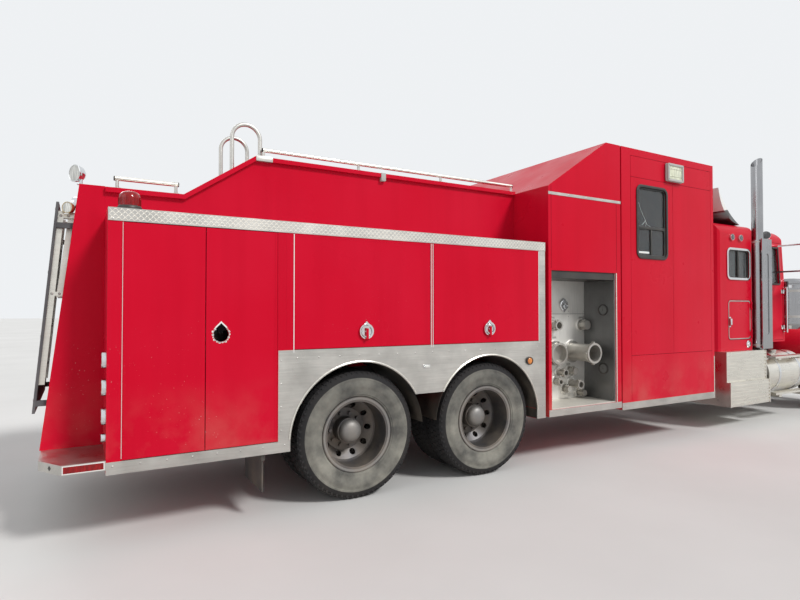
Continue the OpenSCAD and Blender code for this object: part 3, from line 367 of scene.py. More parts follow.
class Finish:
    """A material under construction: its shader and short ways to add texture nodes."""

    def __init__(self, name, colour, metallic=0.0, roughness=0.5):
        self.material = bpy.data.materials.new(name)
        self.material.use_nodes = True
        self.tree = self.material.node_tree
        self.shader = self.tree.nodes["Principled BSDF"]
        self.put("Base Color", (*colour, 1))
        self.put("Metallic", metallic)
        self.put("Roughness", roughness)
        self.place = self.tree.nodes.new("ShaderNodeTexCoord").outputs["Object"]
        FINISHES[name] = self.material

    def put(self, socket, value):
        """Sets a value on the shader's own socket, or links a node's output to it."""
        self.feed(self.shader.inputs[socket], value)

    def feed(self, socket, value):
        """Gives a socket a value, or the output of a node."""
        if isinstance(value, bpy.types.NodeSocket):
            self.tree.links.new(value, socket)
        else:
            socket.default_value = value

    def add(self, kind, output, inputs, **settings):
        """Adds a shader node, with its settings and inputs, and gives one of its outputs."""
        node = self.tree.nodes.new(kind)
        for key, value in settings.items():
            setattr(node, key, value)
        for socket, value in inputs.items():
            self.feed(node.inputs[socket], value)
        return node.outputs[output]

    def noise(self, scale, detail=3.0, stretch=(1, 1, 1)):
        place = self.add("ShaderNodeMapping", "Vector", {"Vector": self.place, "Scale": stretch})
        return self.add("ShaderNodeTexNoise", "Fac",
                        {"Vector": place, "Scale": scale, "Detail": detail, "Roughness": 0.55})

    def along(self, axis):
        """One coordinate of the place on the truck."""
        return self.add("ShaderNodeSeparateXYZ", axis, {0: self.place})

    def spread(self, value, from_low, from_high, low=0.0, high=1.0):
        limits = {"From Min": from_low, "From Max": from_high, "To Min": low, "To Max": high}
        return self.add("ShaderNodeMapRange", "Result", {"Value": value, **limits})

    def sums(self, how, a, b):
        return self.add("ShaderNodeMath", 0, {0: a, 1: b}, operation=how)

    def mixed(self, share, a, b):
        a, b = ((*c, 1) if isinstance(c, tuple) else c for c in (a, b))
        return self.add("ShaderNodeMix", 2, {"Factor": share, 6: a, 7: b}, data_type="RGBA")

    def bumped(self, height, distance, strength=1.0):
        self.put("Normal", self.add("ShaderNodeBump", "Normal",
                                    {"Height": height, "Distance": distance, "Strength": strength}))


def paint_finish(name, colour, faded, dust, shine=(1, 1, 1), roughness=0.30, coat=0.03):
    """Coach paint: sun fade, rain streaks, dust low down, small chips to primer."""
    f = Finish(name, colour, roughness=roughness)
    fade = f.spread(f.noise(0.5, 4), 0.35, 0.7)
    streak = f.spread(f.noise(5.0, 3, (1, 1, 0.07)), 0.45, 0.75, 0, 0.35)
    painted = f.mixed(fade, colour, faded)
    painted = f.mixed(streak, painted, tuple(0.8 * c for c in colour))
    low = f.spread(f.along("Z"), 1.1, 0.40, 0, 0.28)
    film = f.sums("MULTIPLY", low, f.spread(f.noise(2.6, 5), 0.42, 0.72))
    painted = f.mixed(film, painted, dust)
    chip_zone = f.spread(f.noise(1.3, 2), 0.52, 0.66)
    chip_height = f.spread(f.along("Z"), 2.0, 0.9)
    chips = f.spread(f.noise(85.0, 2), 0.715, 0.73)
    chips = f.sums("MULTIPLY", chips, f.sums("MULTIPLY", chip_zone, chip_height))
    painted = f.mixed(chips, painted, (0.55, 0.5, 0.47))
    f.put("Base Color", painted)
    rough = f.spread(f.noise(1.7, 5), 0.3, 0.7, roughness - 0.06, roughness + 0.12)
    f.put("Roughness", f.sums("ADD", rough, f.sums("MULTIPLY", film, 0.5)))
    f.put("Coat Weight", coat)
    f.put("Coat Roughness", 0.08)
    f.put("Specular IOR Level", 0.19)
    f.put("Specular Tint", (*shine, 1))
    f.bumped(f.noise(1.1, 2), 0.006, 0.35)
    return f


def sheet_metal(name, colour, grain, roughness=0.34, dirt=0.35, relief=0.4, metallic=1.0):
    """Bare sheet metal: brushed grain along the stretch, scuffs, water marks and grime."""
    f = Finish(name, colour, metallic=metallic, roughness=roughness)
    brush = f.noise(120.0, 3, grain)
    blotch = f.spread(f.noise(3.2, 6), 0.4, 0.68, 0, dirt)
    shade = f.mixed(f.spread(brush, 0.3, 0.7), tuple(0.86 * c for c in colour), colour)
    shade = f.mixed(blotch, shade, tuple(0.5 * c for c in colour))
    f.put("Base Color", shade)
    rough = f.spread(f.noise(6.0, 6), 0.3, 0.7, roughness - 0.08, roughness + 0.14)
    f.put("Roughness", f.sums("ADD", rough, f.spread(brush, 0.2, 0.8, -0.05, 0.05)))
    f.bumped(brush, 0.0008, relief)
    return f


def dusty_finish(name, colour, dust, amount, roughness=0.6, metallic=0.0, grain=40.0):
    """A dull surface under a film of dust."""
    f = Finish(name, colour, metallic=metallic, roughness=roughness)
    film = f.spread(f.noise(5.5, 6), 0.35, 0.72, 0.15 * amount, amount)
    low = f.spread(f.along("Z"), 1.4, 0.3, 0.4, 1.0)
    film = f.sums("MULTIPLY", film, low)
    f.put("Base Color", f.mixed(film, colour, dust))
    f.put("Roughness", f.spread(film, 0.0, 1.0, roughness, 0.95))
    f.bumped(f.noise(grain, 4), 0.0015, 0.5)
    return f


def lens_finish(name, colour, glow=0.0, coat=1.0):
    """A moulded plastic lens with fine ribs under a glossy skin."""
    f = Finish(name, colour, roughness=0.16)
    ribs = f.noise(90.0, 1, (1, 1, 0.15))
    shade = f.mixed(f.spread(ribs, 0.35, 0.65), tuple(0.6 * c for c in colour), colour)
    f.put("Base Color", shade)
    f.put("Coat Weight", coat)
    f.put("Coat Roughness", 0.05)
    if glow:
        f.put("Emission Color", (*colour, 1))
        f.put("Emission Strength", glow)
    f.bumped(ribs, 0.0012, 0.6)
    return f


def glass_finish(name, tint, rough=0.02):
    """Tinted window glass with a little dust on it."""
    f = Finish(name, tint, roughness=rough)
    f.put("Transmission Weight", 0.92)
    f.put("IOR", 1.45)
    film = f.spread(f.noise(7.0, 5), 0.45, 0.8, 0.0, 0.35)
    f.put("Base Color", f.mixed(film, tint, (0.5, 0.47, 0.42)))
    f.put("Roughness", f.spread(film, 0, 0.35, rough, 0.3))
    return f


class TRUCK_OT_finishes(bpy.types.Operator):
    """Makes the finishes and lays them on the model's own nodes"""
    bl_idname = "truck.finishes"
    bl_label = "Finishes"

    # the model's own nodes of each finish; a star stands for right and left
    NODE_FINISH = {
        "red": ("cab", "sleeper", "crew_cabin", "pump_house", "tank", "rear_bay", "hood",
                "lockers_*", "cab_door_*", "sleeper_hatch_*", "tall_rear_*", "tall_front_*",
                "lift_rear_*", "lift_front_*"),
        "chassis": ("chassis", "cross_members", "front_axle", "rear_axles", "knuckle_*"),
        "engine": ("engine",),
        "cloth": ("seats",),
        "glass": ("glazing", "cab_glass_*"),
        "stainless": ("pump_panel",),
        "cast": ("pump_fittings",),
        "aluminium": ("body_trim", "rear_step", "roof_rails"),
        "bright_sheet": ("step_boxes", "fuel_tanks", "ladder"),
        "board": ("rear_board",),
        "white": ("roof_deflector",),
        "chrome": ("bumper", "grille", "headlamps"),
        "stack": ("exhausts", "air_cleaners"),
        "lens_white": ("lamps",),
        "rubber": ("tyre_front_*", "tyres_rear1_*", "tyres_rear2_*"),
        "wheel": ("rim_front_*", "rims_rear1_*", "rims_rear2_*"),
    }

    def execute(self, context):
        c = context.scene.truck_colours
        tone = {key: tuple(getattr(c, key)) for key in TruckColours.__annotations__}
        paint_finish("red", tone["paint"], tone["faded"], tone["dust"], (1, 0.22, 0.30))
        paint_finish("white", tone["white"], tuple(0.9 * v for v in tone["white"]), tone["dust"])
        sheet_metal("aluminium", tone["aluminium"], (0.04, 1, 1), 0.36, 0.45)
        sheet_metal("stainless", tone["stainless"], (1, 1, 0.04), 0.40, 0.3, metallic=0.55)
        sheet_metal("sunlit_sheet", (0.80, 0.76, 0.68), (0.04, 1, 1), 0.5, 0.25, 0.2, 0.4)
        # dark bare sheet: the deflector's own dark foot, and painted shade on the pump bay's side wall
        sheet_metal("dark_sheet", (0.21, 0.21, 0.21), (1, 1, 0.04), 0.45, 0.5)
        sheet_metal("bright_sheet", (0.80, 0.77, 0.70), (0.04, 1, 1), 0.30, 0.10, 0.02)
        sheet_metal("chrome", tone["chrome"], (1, 1, 1), 0.10, 0.12, 0.03)
        sheet_metal("mirror_glass", (0.60, 0.62, 0.64), (1, 1, 1), 0.09, 0.1, 0.0)
        sheet_metal("bare_metal", (0.55, 0.53, 0.5), (1, 1, 1), 0.45, 0.5)
        dusty_finish("chassis", tone["chassis"], tone["dust"], 0.24, 0.6)
        dusty_finish("engine", (0.10, 0.10, 0.105), tone["dust"], 0.5, 0.55)
        rubber = dusty_finish("rubber", tone["rubber"], tone["dust"], 0.05, 0.8, grain=160.0)
        rubber.put("Specular IOR Level", 0.15)
        dusty_finish("rubber_wall", (0.045, 0.044, 0.042), (0.33, 0.315, 0.265), 0.85, 0.85, grain=160.0)
        dusty_finish("dial", (0.13, 0.13, 0.125), (0.10, 0.10, 0.10), 0.3, 0.3)
        sheet_metal("gold", (0.62, 0.46, 0.22), (1, 1, 1), 0.3, 0.3)
        dusty_finish("rubber_trim", (0.012, 0.012, 0.013), tone["dust"], 0.2, 0.55, grain=160.0)
        dusty_finish("wheel", tone["wheel"], tone["dust"], 0.45, 0.42, 0.6)
        dusty_finish("cast", tone["cast"], (0.20, 0.13, 0.08), 0.38, 0.40, 0.8)
        dusty_finish("brown_screen", (0.10, 0.06, 0.035), tone["dust"], 0.5, 0.6, 0.5)
        dusty_finish("board", tone["board"], (0.30, 0.29, 0.28), 0.5, 0.7)
        dusty_finish("cloth", tone["cloth"], (0.12, 0.11, 0.10), 0.5, 0.9, grain=300.0)
        dusty_finish("black_plastic", (0.015, 0.015, 0.016), tone["dust"], 0.25, 0.4)
        void = dusty_finish("void", (0.003, 0.003, 0.003), (0.01, 0.01, 0.01), 0.1, 0.9)
        void.put("Specular IOR Level", 0.05)
        # paler grey: the hub caps' own light grey, and on the rims' lips a painted highlight
        dusty_finish("wheel_lip", (0.21, 0.205, 0.20), tone["dust"], 0.35, 0.45, 0.5)
        sheet_metal("stack", (0.40, 0.40, 0.41), (1, 1, 0.04), 0.18, 0.15, 0.03)
        dusty_finish("blind", (0.42, 0.42, 0.40), tone["dust"], 0.3, 0.7)
        lens_finish("lens_white", (0.75, 0.75, 0.70))
        lens_finish("lens_dark", (0.05, 0.05, 0.055))
        lens_finish("lens_red", (0.30, 0.004, 0.006), 0.05, coat=0.3).put("Specular IOR Level", 0.25)
        lens_finish("lens_amber", (0.75, 0.22, 0.015), 0.05)
        lens_finish("lens_pale", (0.72, 0.74, 0.55), 0.1)
        glass_finish("glass", (0.30, 0.33, 0.34))
        for name, stems in self.NODE_FINISH.items():
            for node in dict.fromkeys(stem.replace("*", side) for stem in stems for side, _ in SIDES):
                slots = NODES[node].material_slots
                if not slots:
                    NODES[node].data.materials.append(FINISHES[name])
                for slot in slots:
                    slot.material = FINISHES[name]
        return {"FINISHED"}


# Stage and camera

class TRUCK_OT_stage(bpy.types.Operator):
    """Pale floor, soft studio light and a camera at the photograph's angle"""
    bl_idname = "truck.stage"
    bl_label = "Stage"

    # the camera that was fitted to the photograph: focal length, place, degrees of turn and of tilt
    LENS = 24.975
    PLACE = (-5.550, -5.470, 1.595)
    TURN, TILT = -30, 1.03
    # name, degrees about each axis, power, degrees across
    SUNS = (("key", (48, 0, 28), 2.3, 12), ("fill", (62, 0, -70), 0.35, 40), ("back", (55, 0, 190), 0.6, 30))

    def execute(self, context):
        scene = context.scene
        scene.view_settings.view_transform = "Standard"
        self.floor()
        self.backdrop(scene)
        self.lights(scene)
        self.camera(scene)
        return {"FINISHED"}

    def floor(self):
        idle()
        bpy.ops.mesh.primitive_plane_add(size=240, location=(0, 0, 0))
        ground = settle(bpy.context.object, "floor")
        f = Finish("floor", (0.62, 0.61, 0.59), roughness=0.9)
        patches = f.spread(f.noise(0.4, 4), 0.3, 0.7)
        f.put("Base Color", f.mixed(patches, (0.60, 0.59, 0.57), (0.66, 0.65, 0.63)))
        ground.data.materials.append(f.material)

    def backdrop(self, scene):
        """One grey-white for what the camera, gloss and glass see, and a dimmer one that lights the truck."""
        world = bpy.data.worlds.new("studio")
        scene.world = world
        world.use_nodes = True
        nodes, links = world.node_tree.nodes, world.node_tree.links
        nodes.clear()
        choice = nodes.new("ShaderNodeMixShader")
        path = nodes.new("ShaderNodeLightPath")
        seen = path.outputs["Is Camera Ray"]
        for ray in ("Is Glossy Ray", "Is Transmission Ray"):
            either = nodes.new("ShaderNodeMath")
            either.operation = "MAXIMUM"
            links.new(seen, either.inputs[0])
            links.new(path.outputs[ray], either.inputs[1])
            seen = either.outputs[0]
        links.new(seen, choice.inputs["Fac"])
        for socket, colour, strength in ((1, (0.93, 0.96, 1.0, 1), 0.55), (2, (0.86, 0.88, 0.90, 1), 1.0)):
            sky = nodes.new("ShaderNodeBackground")
            sky.inputs["Color"].default_value = colour
            sky.inputs["Strength"].default_value = strength
            links.new(sky.outputs[0], choice.inputs[socket])
        out = nodes.new("ShaderNodeOutputWorld")
        links.new(choice.outputs[0], out.inputs["Surface"])

    def lights(self, scene):
        for name, turn, power, size in self.SUNS:
            lamp = bpy.data.lights.new(name, "SUN")
            lamp.energy = power
            lamp.angle = math.radians(size)
            obj = bpy.data.objects.new(name, lamp)
            obj.rotation_euler = [math.radians(part) for part in turn]
            scene.collection.objects.link(obj)

    def camera(self, scene):
        """The camera that sees the truck as the photograph does."""
        lens = bpy.data.cameras.new("camera")
        lens.sensor_width = 36.0
        lens.lens = self.LENS
        lens.clip_end = 400
        obj = bpy.data.objects.new("camera", lens)
        scene.collection.objects.link(obj)
        obj.location = self.PLACE
        obj.rotation_euler = (math.radians(90 + self.TILT), 0, math.radians(self.TURN))
        scene.camera = obj


# Wheels

# body and tyre node without the side, station along the truck, middles of the tyres across it
WHEELS = {
    "front": ("wheel_front", "tyre_front", 5.070, (0.985,)),
    "rear1": ("wheels_rear1", "tyres_rear1", -3.500, (1.085, 0.755)),
    "rear2": ("wheels_rear2", "tyres_rear2", -2.130, (1.085, 0.755)),
}


class TRUCK_OT_tyres(bpy.types.Operator):
    """Road tyres with a block tread, shoulder lugs and ribbed sidewalls"""
    bl_idname = "truck.tyres"
    bl_label = "Tyres"

    # half the casing's section: distance from the tyre's middle plane, radius
    CASING = ((0.100, 0.289), (0.106, 0.319), (0.120, 0.326), (0.124, 0.338), (0.128, 0.340),
              (0.130, 0.352), (0.133, 0.372), (0.1385, 0.398), (0.1395, 0.400), (0.1398, 0.436),
              (0.1385, 0.438), (0.135, 0.462), (0.1365, 0.464), (0.134, 0.478), (0.129, 0.492),
              (0.121, 0.509), (0.110, 0.525), (0.100, 0.529))
    # sides of the rows of blocks
    RIBS = ((-0.112, -0.062), (-0.056, -0.003), (0.003, 0.056), (0.062, 0.112))
    CROWN, FOOT = 0.541, 0.526          # radii of the tread's top and foot
    SHOULDER_DROP = 0.006               # how far the outer rows slope down at their outer edge
    SHOULDER = 0.482                    # radius where the sidewall's dust ends

    def tread(self, count):
        """The blocks of a whole tyre about the origin; the outer rows slope down to the shoulder."""
        pitch = 2 * math.pi * self.CROWN / count
        blocks = []
        for index, (inner, outer) in enumerate(self.RIBS):
            shift = pitch / 2 * (index % 2)
            low = (shift - 0.45 * pitch, inner, self.FOOT)
            high = (shift + 0.45 * pitch, outer, self.CROWN - 0.0008)
            part = block(low, high, 0.0025, 1)
            edit(part, "FACE")
            edge_y = max(abs(inner), abs(outer))
            choose_faces(part, lambda c, n: abs(abs(c.y) - edge_y) < 0.004)
            if edge_y > 0.1:
                bpy.ops.transform.translate(value=(0, 0, -self.SHOULDER_DROP))
            blocks.append(part)
        for side in (-1, 1):
            lug = block((-0.010, 0.112, 0.497), (0.010, 0.1225, 0.527), 0.003, 1)
            if side < 0:
                lug = settle(self.flipped(lug))
            blocks.append(lug)
        return round_about(joined(blocks), count, (0, 0, 0), (0, 1, 0))

    def flipped(self, obj):
        """The piece itself, mirrored to the tyre's other side."""
        edit(obj, "FACE", True)
        bpy.ops.transform.resize(value=(1, -1, 1), center_override=(0, 0, 0))
        bpy.ops.mesh.normals_make_consistent(inside=False)
        idle()
        return obj

    def shoulders(self, wall, centre):
        """Gives the casing outside the sidewall the darker rubber of the tread."""
        wall.data.materials.append(FINISHES["rubber"])
        edit(wall)
        choose_faces(wall, lambda c, n: (Vector((c.x, 0, c.z)) - centre).length > self.SHOULDER)
        wall.active_material_index = 1
        bpy.ops.object.material_slot_assign()
        idle()

    def execute(self, context):
        profile = [*self.CASING, *((-y, r) for y, r in reversed(self.CASING))]
        casing = ring((0, 0, 0), "y", profile, 96)
        tread = self.tread(context.scene.truck_sizes.tread_blocks)
        for key, (body, node, x, places) in WHEELS.items():
            for name, side in SIDES:
                walls = [copy_of(casing, (x, side * y, AXLE_Z)) for y in places]
                blocks = [copy_of(tread, (x, side * y, AXLE_Z)) for y in places]
                wall = finished(walls, f"tyre_casing_{key}_{name}", "rubber_wall",
                                f"{body}_{name}", (f"{node}_{name}",))
                self.shoulders(wall, Vector((x, 0, AXLE_Z)))
                finished(blocks, f"tyre_tread_{key}_{name}", "rubber", f"{body}_{name}")
        pick(casing, tread)
        bpy.ops.object.delete()
        return {"FINISHED"}


class TRUCK_OT_wheel_trim(bpy.types.Operator):
    """Stud ends, washers, hub caps and pale lips on every wheel"""
    bl_idname = "truck.wheel_trim"
    bl_label = "Wheel trim"

    # profiles of the hub cap and of the rim's lip, and radius of the circle of studs
    CAP = [(0.000, 0.1006), (0.020, 0.1004), (0.034, 0.0975), (0.048, 0.088), (0.062, 0.0705),
           (0.070, 0.045), (0.0745, 0.020), (0.0755, 0.003)]
    LIP = [(0.1164, 0.2930), (0.1184, 0.3112), (0.1200, 0.3112), (0.1195, 0.3050), (0.1180, 0.2930)]
    STUDS = 0.143

    def trim(self, face):
        """Washers and stud ends of one wheel about the origin, its outside towards +Y."""
        place = (self.STUDS, 0, 0)
        washer = turned(place, "y", [(face - 0.004, 0.021), (face + 0.001, 0.021)], 16)
        stud = turned(place, "y", [(face + 0.004, 0.0085), (face + 0.010, 0.0085), (face + 0.012, 0.0065)], 10)
        return round_about(joined([washer, stud]), 10, (0, 0, 0), (0, 1, 0))

    def execute(self, context):
        for key, (body, _, x, places) in WHEELS.items():
            y = places[0]
            face, cap_foot = (0.154, 0.200) if key == "front" else (-0.157, -0.050)
            nuts = shifted(self.trim(face), (x, y, AXLE_Z))
            cap = turned((x, y + cap_foot, AXLE_Z), "y", self.CAP, 40)
            lip = ring((x, y, AXLE_Z), "y", self.LIP, 72)
            # stud ends and washers in the engine's dark finish: dark steel, darkened partly as painted shade
            # round the nuts
            both(nuts, f"wheel_nuts_{key}", "engine", body)
            both(cap, f"wheel_cap_{key}", "wheel_lip", body)
            # the rims' lips paler than the discs: painted highlight along the rolled lip
            both(lip, f"wheel_lip_{key}", "wheel_lip", body)
        return {"FINISHED"}


class TRUCK_OT_arches(bpy.types.Operator):
    """Black liners and bright rolled lips in the rear wheel arches, bare sheet inside the lockers"""
    bl_idname = "truck.arches"
    bl_label = "Arches and linings"

    # station of each arch, first and last degree of its lip
    PLACES = ((-3.500, 31, 176), (-2.130, 4, 149))
    LINER, LIP = 0.6140, 0.6235         # radii of the liner and of the lip's middle
    INNER_Y = 0.755                     # where the liners start
    # low and high corner of each left locker's room
    ROOMS = (((-5.350, 0.760, 0.610), (-4.190, 1.248, 2.170)),
             ((-4.055, 0.760, 1.310), (-2.820, 1.248, 2.170)),
             ((-2.760, 0.760, 1.310), (-1.515, 1.248, 2.170)))

    def lining(self, low, high):
        """Sheets just inside a room's walls, with its side towards +Y left open."""
        (x0, y0, z0), (x1, y1, z1) = low, high
        a, b = 0.0006, 0.0018           # the sheets' two faces, from the wall
        return joined([
            block((x0 + a, y0 + a, z0 + a), (x1 - a, y0 + b, z1 - a)),
            block((x0 + a, y0 + b, z0 + a), (x1 - a, y1, z0 + b)),
            block((x0 + a, y0 + b, z1 - b), (x1 - a, y1, z1 - a)),
            block((x0 + a, y0 + b, z0 + b), (x0 + b, y1, z1 - b)),
            block((x1 - b, y0 + b, z0 + b), (x1 - a, y1, z1 - b))])

    def execute(self, context):
        liners, lips = [], []
        for x, first, last in self.PLACES:
            liner = band((x, self.INNER_Y, AXLE_Z), "y", 0, 0.506, self.LINER - 0.0012, self.LINER, 72)
            edit(liner)
            choose_faces(liner, lambda c, n: c.z < 0.60)
            bpy.ops.mesh.delete(type="FACE")
            idle()
            foot = x + (self.LINER - 0.0005) * (-1 if x == self.PLACES[0][0] else 1)     # the outer end
            plate = shifted(block((-0.0007, self.INNER_Y, 0.495), (0.0007, 1.261, 0.605)), (foot, 0, 0))
            liners += [liner, plate]
            turns = [math.radians(first + (last - first) * i / 40) for i in range(41)]
            lips.append(pipe([(x + self.LIP * math.cos(t), SKIN_Y + 0.003, AXLE_Z + self.LIP * math.sin(t))
                              for t in turns], 0.0075))
        both(liners, "arch_liners", "black_plastic")
        both(lips, "arch_lips", "bright_sheet")
        linings = [self.lining(low, high) for low, high in self.ROOMS]
        both(linings, "locker_linings", "aluminium")
        return {"FINISHED"}


# Body side

TIP_LIFT = 0.75             # middle of a latch plate's tip above the plate's middle, in radii


def teardrop_tip(place, radius, depth):
    """The pointed top of a latch plate, standing on a side panel."""
    x, y, z = place
    half = radius * 0.46
    tip = block((-half, 0.0002, -half), (half, depth, half), 0.0008, 1)
    return placed(tip, (x, y, z + TIP_LIFT * radius), (0, 45, 0))


class TRUCK_OT_latches(bpy.types.Operator):
    """Ring latches in dished plates on the locker doors, and the bare ring where one is missing"""
    bl_idname = "truck.latches"
    bl_label = "Locker latches"

    # door and station of each latch, station of the missing one, height of all
    PLACES = (("lift_rear", -3.456), ("lift_front", -2.137))
    MISSING_X = -4.645
    HEIGHT = 1.415

    def latch(self, x, radius):
        """A dished plate with a tip, screws and a tilted ring."""
        dish = turned((x, SKIN_Y, self.HEIGHT), "y", [
            (0.015, radius + 0.004), (0.0185, radius + 0.003), (0.0195, radius - 0.006),
            (0.017, radius - 0.012), (0.0165, 0.012), (0.022, 0.011), (0.023, 0.004)], 40)
        handle = band((x, SKIN_Y + 0.024, self.HEIGHT), "y", -0.004, 0.003, radius - 0.020, radius - 0.012, 32)
        edit(handle, "VERT", True)
        bpy.ops.transform.rotate(value=math.radians(7), orient_axis="X",
                                 center_override=(x, SKIN_Y + 0.02, self.HEIGHT - radius))
        idle()
        tip = teardrop_tip((x, SKIN_Y, self.HEIGHT), radius, 0.0165)
        away = (radius - 0.004) * math.sqrt(0.5)
        screws = [turned((x + a * away, SKIN_Y, self.HEIGHT + b * away), "y",
                         [(0.018, 0.0045), (0.0205, 0.004), (0.0215, 0.002)], 8)
                  for a, b in ((1, 1), (-1, 1), (-1, -1), (1, -1))]
        return joined([dish, handle, tip, *screws])

    def execute(self, context):
        radius = context.scene.truck_sizes.latch_radius
        for door, x in self.PLACES:
            both(self.latch(x, radius), f"latch_{door}", "chrome", door)
        centre = (self.MISSING_X, SKIN_Y, self.HEIGHT)
        bare = ring(centre, "y", [(0.0002, 0.0555), (0.0010, 0.056), (0.0010, 0.061), (0.0002, 0.0615)], 40)
        both(bare, "latch_scar", "bare_metal", "tall_front")
        both(teardrop_tip(centre, 0.0595, 0.0016), "latch_scar_notch", "void", "tall_front")
        flakes = [teardrop_tip(centre, 0.0700, 0.0006)]
        for step in range(27):          # uneven turns, distances and sizes of the lost paint
            turn = step * 0.2327 + 0.09 * math.sin(2.1 * step)
            away, size = 0.0615 + 0.0022 * math.sin(1.7 * step), 0.0062 + 0.0026 * math.sin(3.3 * step)
            place = (centre[0] + away * math.cos(turn), SKIN_Y, centre[2] + away * math.sin(turn))
            flakes.append(turned(place, "y", [(0.0001, size), (0.0005, size * 0.9)], 7))
        both(flakes, "latch_scar_flakes", "white", "tall_front")
        return {"FINISHED"}


class TRUCK_OT_treadplate(bpy.types.Operator):
    """Raised lozenges on the treadplate along the locker tops"""
    bl_idname = "truck.treadplate"
    bl_label = "Treadplate"

    def lozenge(self):
        """One raised bar of treadplate, lying on the origin."""
        part = block((-0.0135, -0.0035, -0.0005), (0.0135, 0.0035, 0.0011), 0.0, 1)
        edit(part, "FACE")
        choose_faces(part, lambda c, n: n.z > 0.9)
        bpy.ops.transform.resize(value=(0.72, 0.5, 1), center_override=(0, 0, 0.0011))
        idle()
        return part

    def pair(self, pitch, upright):
        """Four bars of the pattern, lying, or upright and facing the side."""
        one = placed(self.lozenge(), (0, 0, 0), (0, 0, 45))
        two = placed(self.lozenge(), (pitch / 2, 0, 0), (0, 0, -45))
        three = copy_of(two, (-pitch / 2, pitch / 2, 0))
        four = copy_of(one, (pitch / 2, pitch / 2, 0))
        part = joined([one, two, three, four])
        return placed(part, (0, 0, 0), (-90, 0, 0)) if upright else part

    def field(self, low, high, plane, pitch, upright):
        """Rows of lozenges between two corners of a plane at height or width plane."""
        part = self.pair(pitch, upright)
        across = (0, 0, pitch) if upright else (0, pitch, 0)
        columns = int((high[0] - low[0]) / pitch)
        rows = max(1, int((high[1] - low[1]) / pitch))
        row(part, columns, (pitch, 0, 0))
        row(part, rows, across)
        margin_x = (high[0] - low[0] - columns * pitch) / 2 + pitch / 4
        margin_y = (high[1] - low[1] - rows * pitch) / 2 + pitch / 4
        if upright:
            return shifted(part, (low[0] + margin_x, plane, low[1] + margin_y + pitch / 2))
        return shifted(part, (low[0] + margin_x, low[1] + margin_y, plane))

    def execute(self, context):
        pitch = context.scene.truck_sizes.diamond_pitch
        strip = self.field((-5.385, 2.204), (-1.405, 2.284), 1.275, pitch * 0.75, True)
        both(strip, "treadplate_strip", "sunlit_sheet")
        top = self.field((-5.385, 0.78), (-1.405, 1.27), 2.290, pitch, False)
        both(top, "treadplate_top", "aluminium")
        return {"FINISHED"}


class TRUCK_OT_rivets(bpy.types.Operator):
    """Rivets and screws along the trim, thin white edgings beside the doors and dark panel seams"""
    bl_idname = "truck.rivets"
    bl_label = "Rivets and edgings"

    # start and end of each line of rivets on the left side, with the spacing
    LINES = (
        ((-5.35, 1.270, 0.545), (-4.16, 1.270, 0.545), 0.17),
        ((-4.06, 1.270, 1.215), (-1.51, 1.270, 1.215), 0.17),
        ((-1.442, 1.270, 0.62), (-1.442, 1.270, 2.16), 0.17),
        ((-4.19, 1.270, 0.66), (-4.19, 1.270, 1.20), 0.18),
        ((-5.36, 1.2755, 2.212), (-1.43, 1.2755, 2.212), 0.33),
        ((-1.32, 1.274, 0.540), (-0.26, 1.274, 0.540), 0.20),
        ((-0.17, 1.274, 0.500), (1.54, 1.274, 0.500), 0.24),
        ((-1.32, 1.274, 2.815), (-0.26, 1.274, 2.815), 0.26),
    )
    # white edgings: low corner and high corner on the left side
    EDGINGS = (
        ((-5.300, 1.2700, 0.590), (-5.293, 1.2722, 2.195)),
        ((-4.092, 1.2700, 1.260), (-4.085, 1.2722, 2.195)),
        ((-2.803, 1.2700, 1.260), (-2.797, 1.2722, 2.195)),
        ((-2.783, 1.2700, 1.260), (-2.777, 1.2722, 2.195)),
        ((-1.492, 1.2700, 1.260), (-1.486, 1.2722, 2.195)),
    )
    # dark seams: low corner and high corner on the left side
    SEAMS = (
        ((-1.3115, 1.2701, 2.030), (-1.3085, 1.2706, 2.800)),
        ((-0.3015, 1.2701, 2.030), (-0.2985, 1.2706, 2.800)),
        ((-1.3115, 1.2701, 2.829), (-1.3085, 1.2706, 2.900)),
        ((-0.0500, 1.2671, 1.0684), (1.5200, 1.2678, 1.0716)),
        ((-0.0500, 1.2671, 3.1384), (1.5200, 1.2678, 3.1416)),
        ((-0.0500, 1.2671, 3.3834), (1.5200, 1.2678, 3.3866)),
        ((-0.0516, 1.2671, 0.5600), (-0.0484, 1.2678, 3.3850)),
        ((1.5184, 1.2671, 0.5600), (1.5216, 1.2678, 3.3850)),
        ((0.7314, 1.2671, 1.0700), (0.7346, 1.2678, 3.1400)),
    )

    def rivets(self, radius):
        """All the rivets of the left side."""
        heads = []
        for start, end, gap in self.LINES:
            a, b = Vector(start), Vector(end)
            count = int((b - a).length / gap)
            for i in range(count + 1):
                heads.append(a.lerp(b, i / count))
        seed = turned((0, 0, 0), "y", [(-0.001, radius), (0.0005, radius), (0.0022, 0.6 * radius),
                                       (0.0027, 0.15 * radius)], 10)
        made = [copy_of(seed, place) for place in heads]
        pick(seed)
        bpy.ops.object.delete()
        return joined(made)

    def execute(self, context):
        sizes = context.scene.truck_sizes
        both(self.rivets(sizes.rivet_radius), "rivets", "bare_metal")
        both([block(low, high) for low, high in self.SEAMS], "panel_lines", "void")
        strips = [block(low, high, 0.0008, 1) for low, high in self.EDGINGS]
        both(strips, "edgings", "white")
        return {"FINISHED"}


# Window frames and glass trim

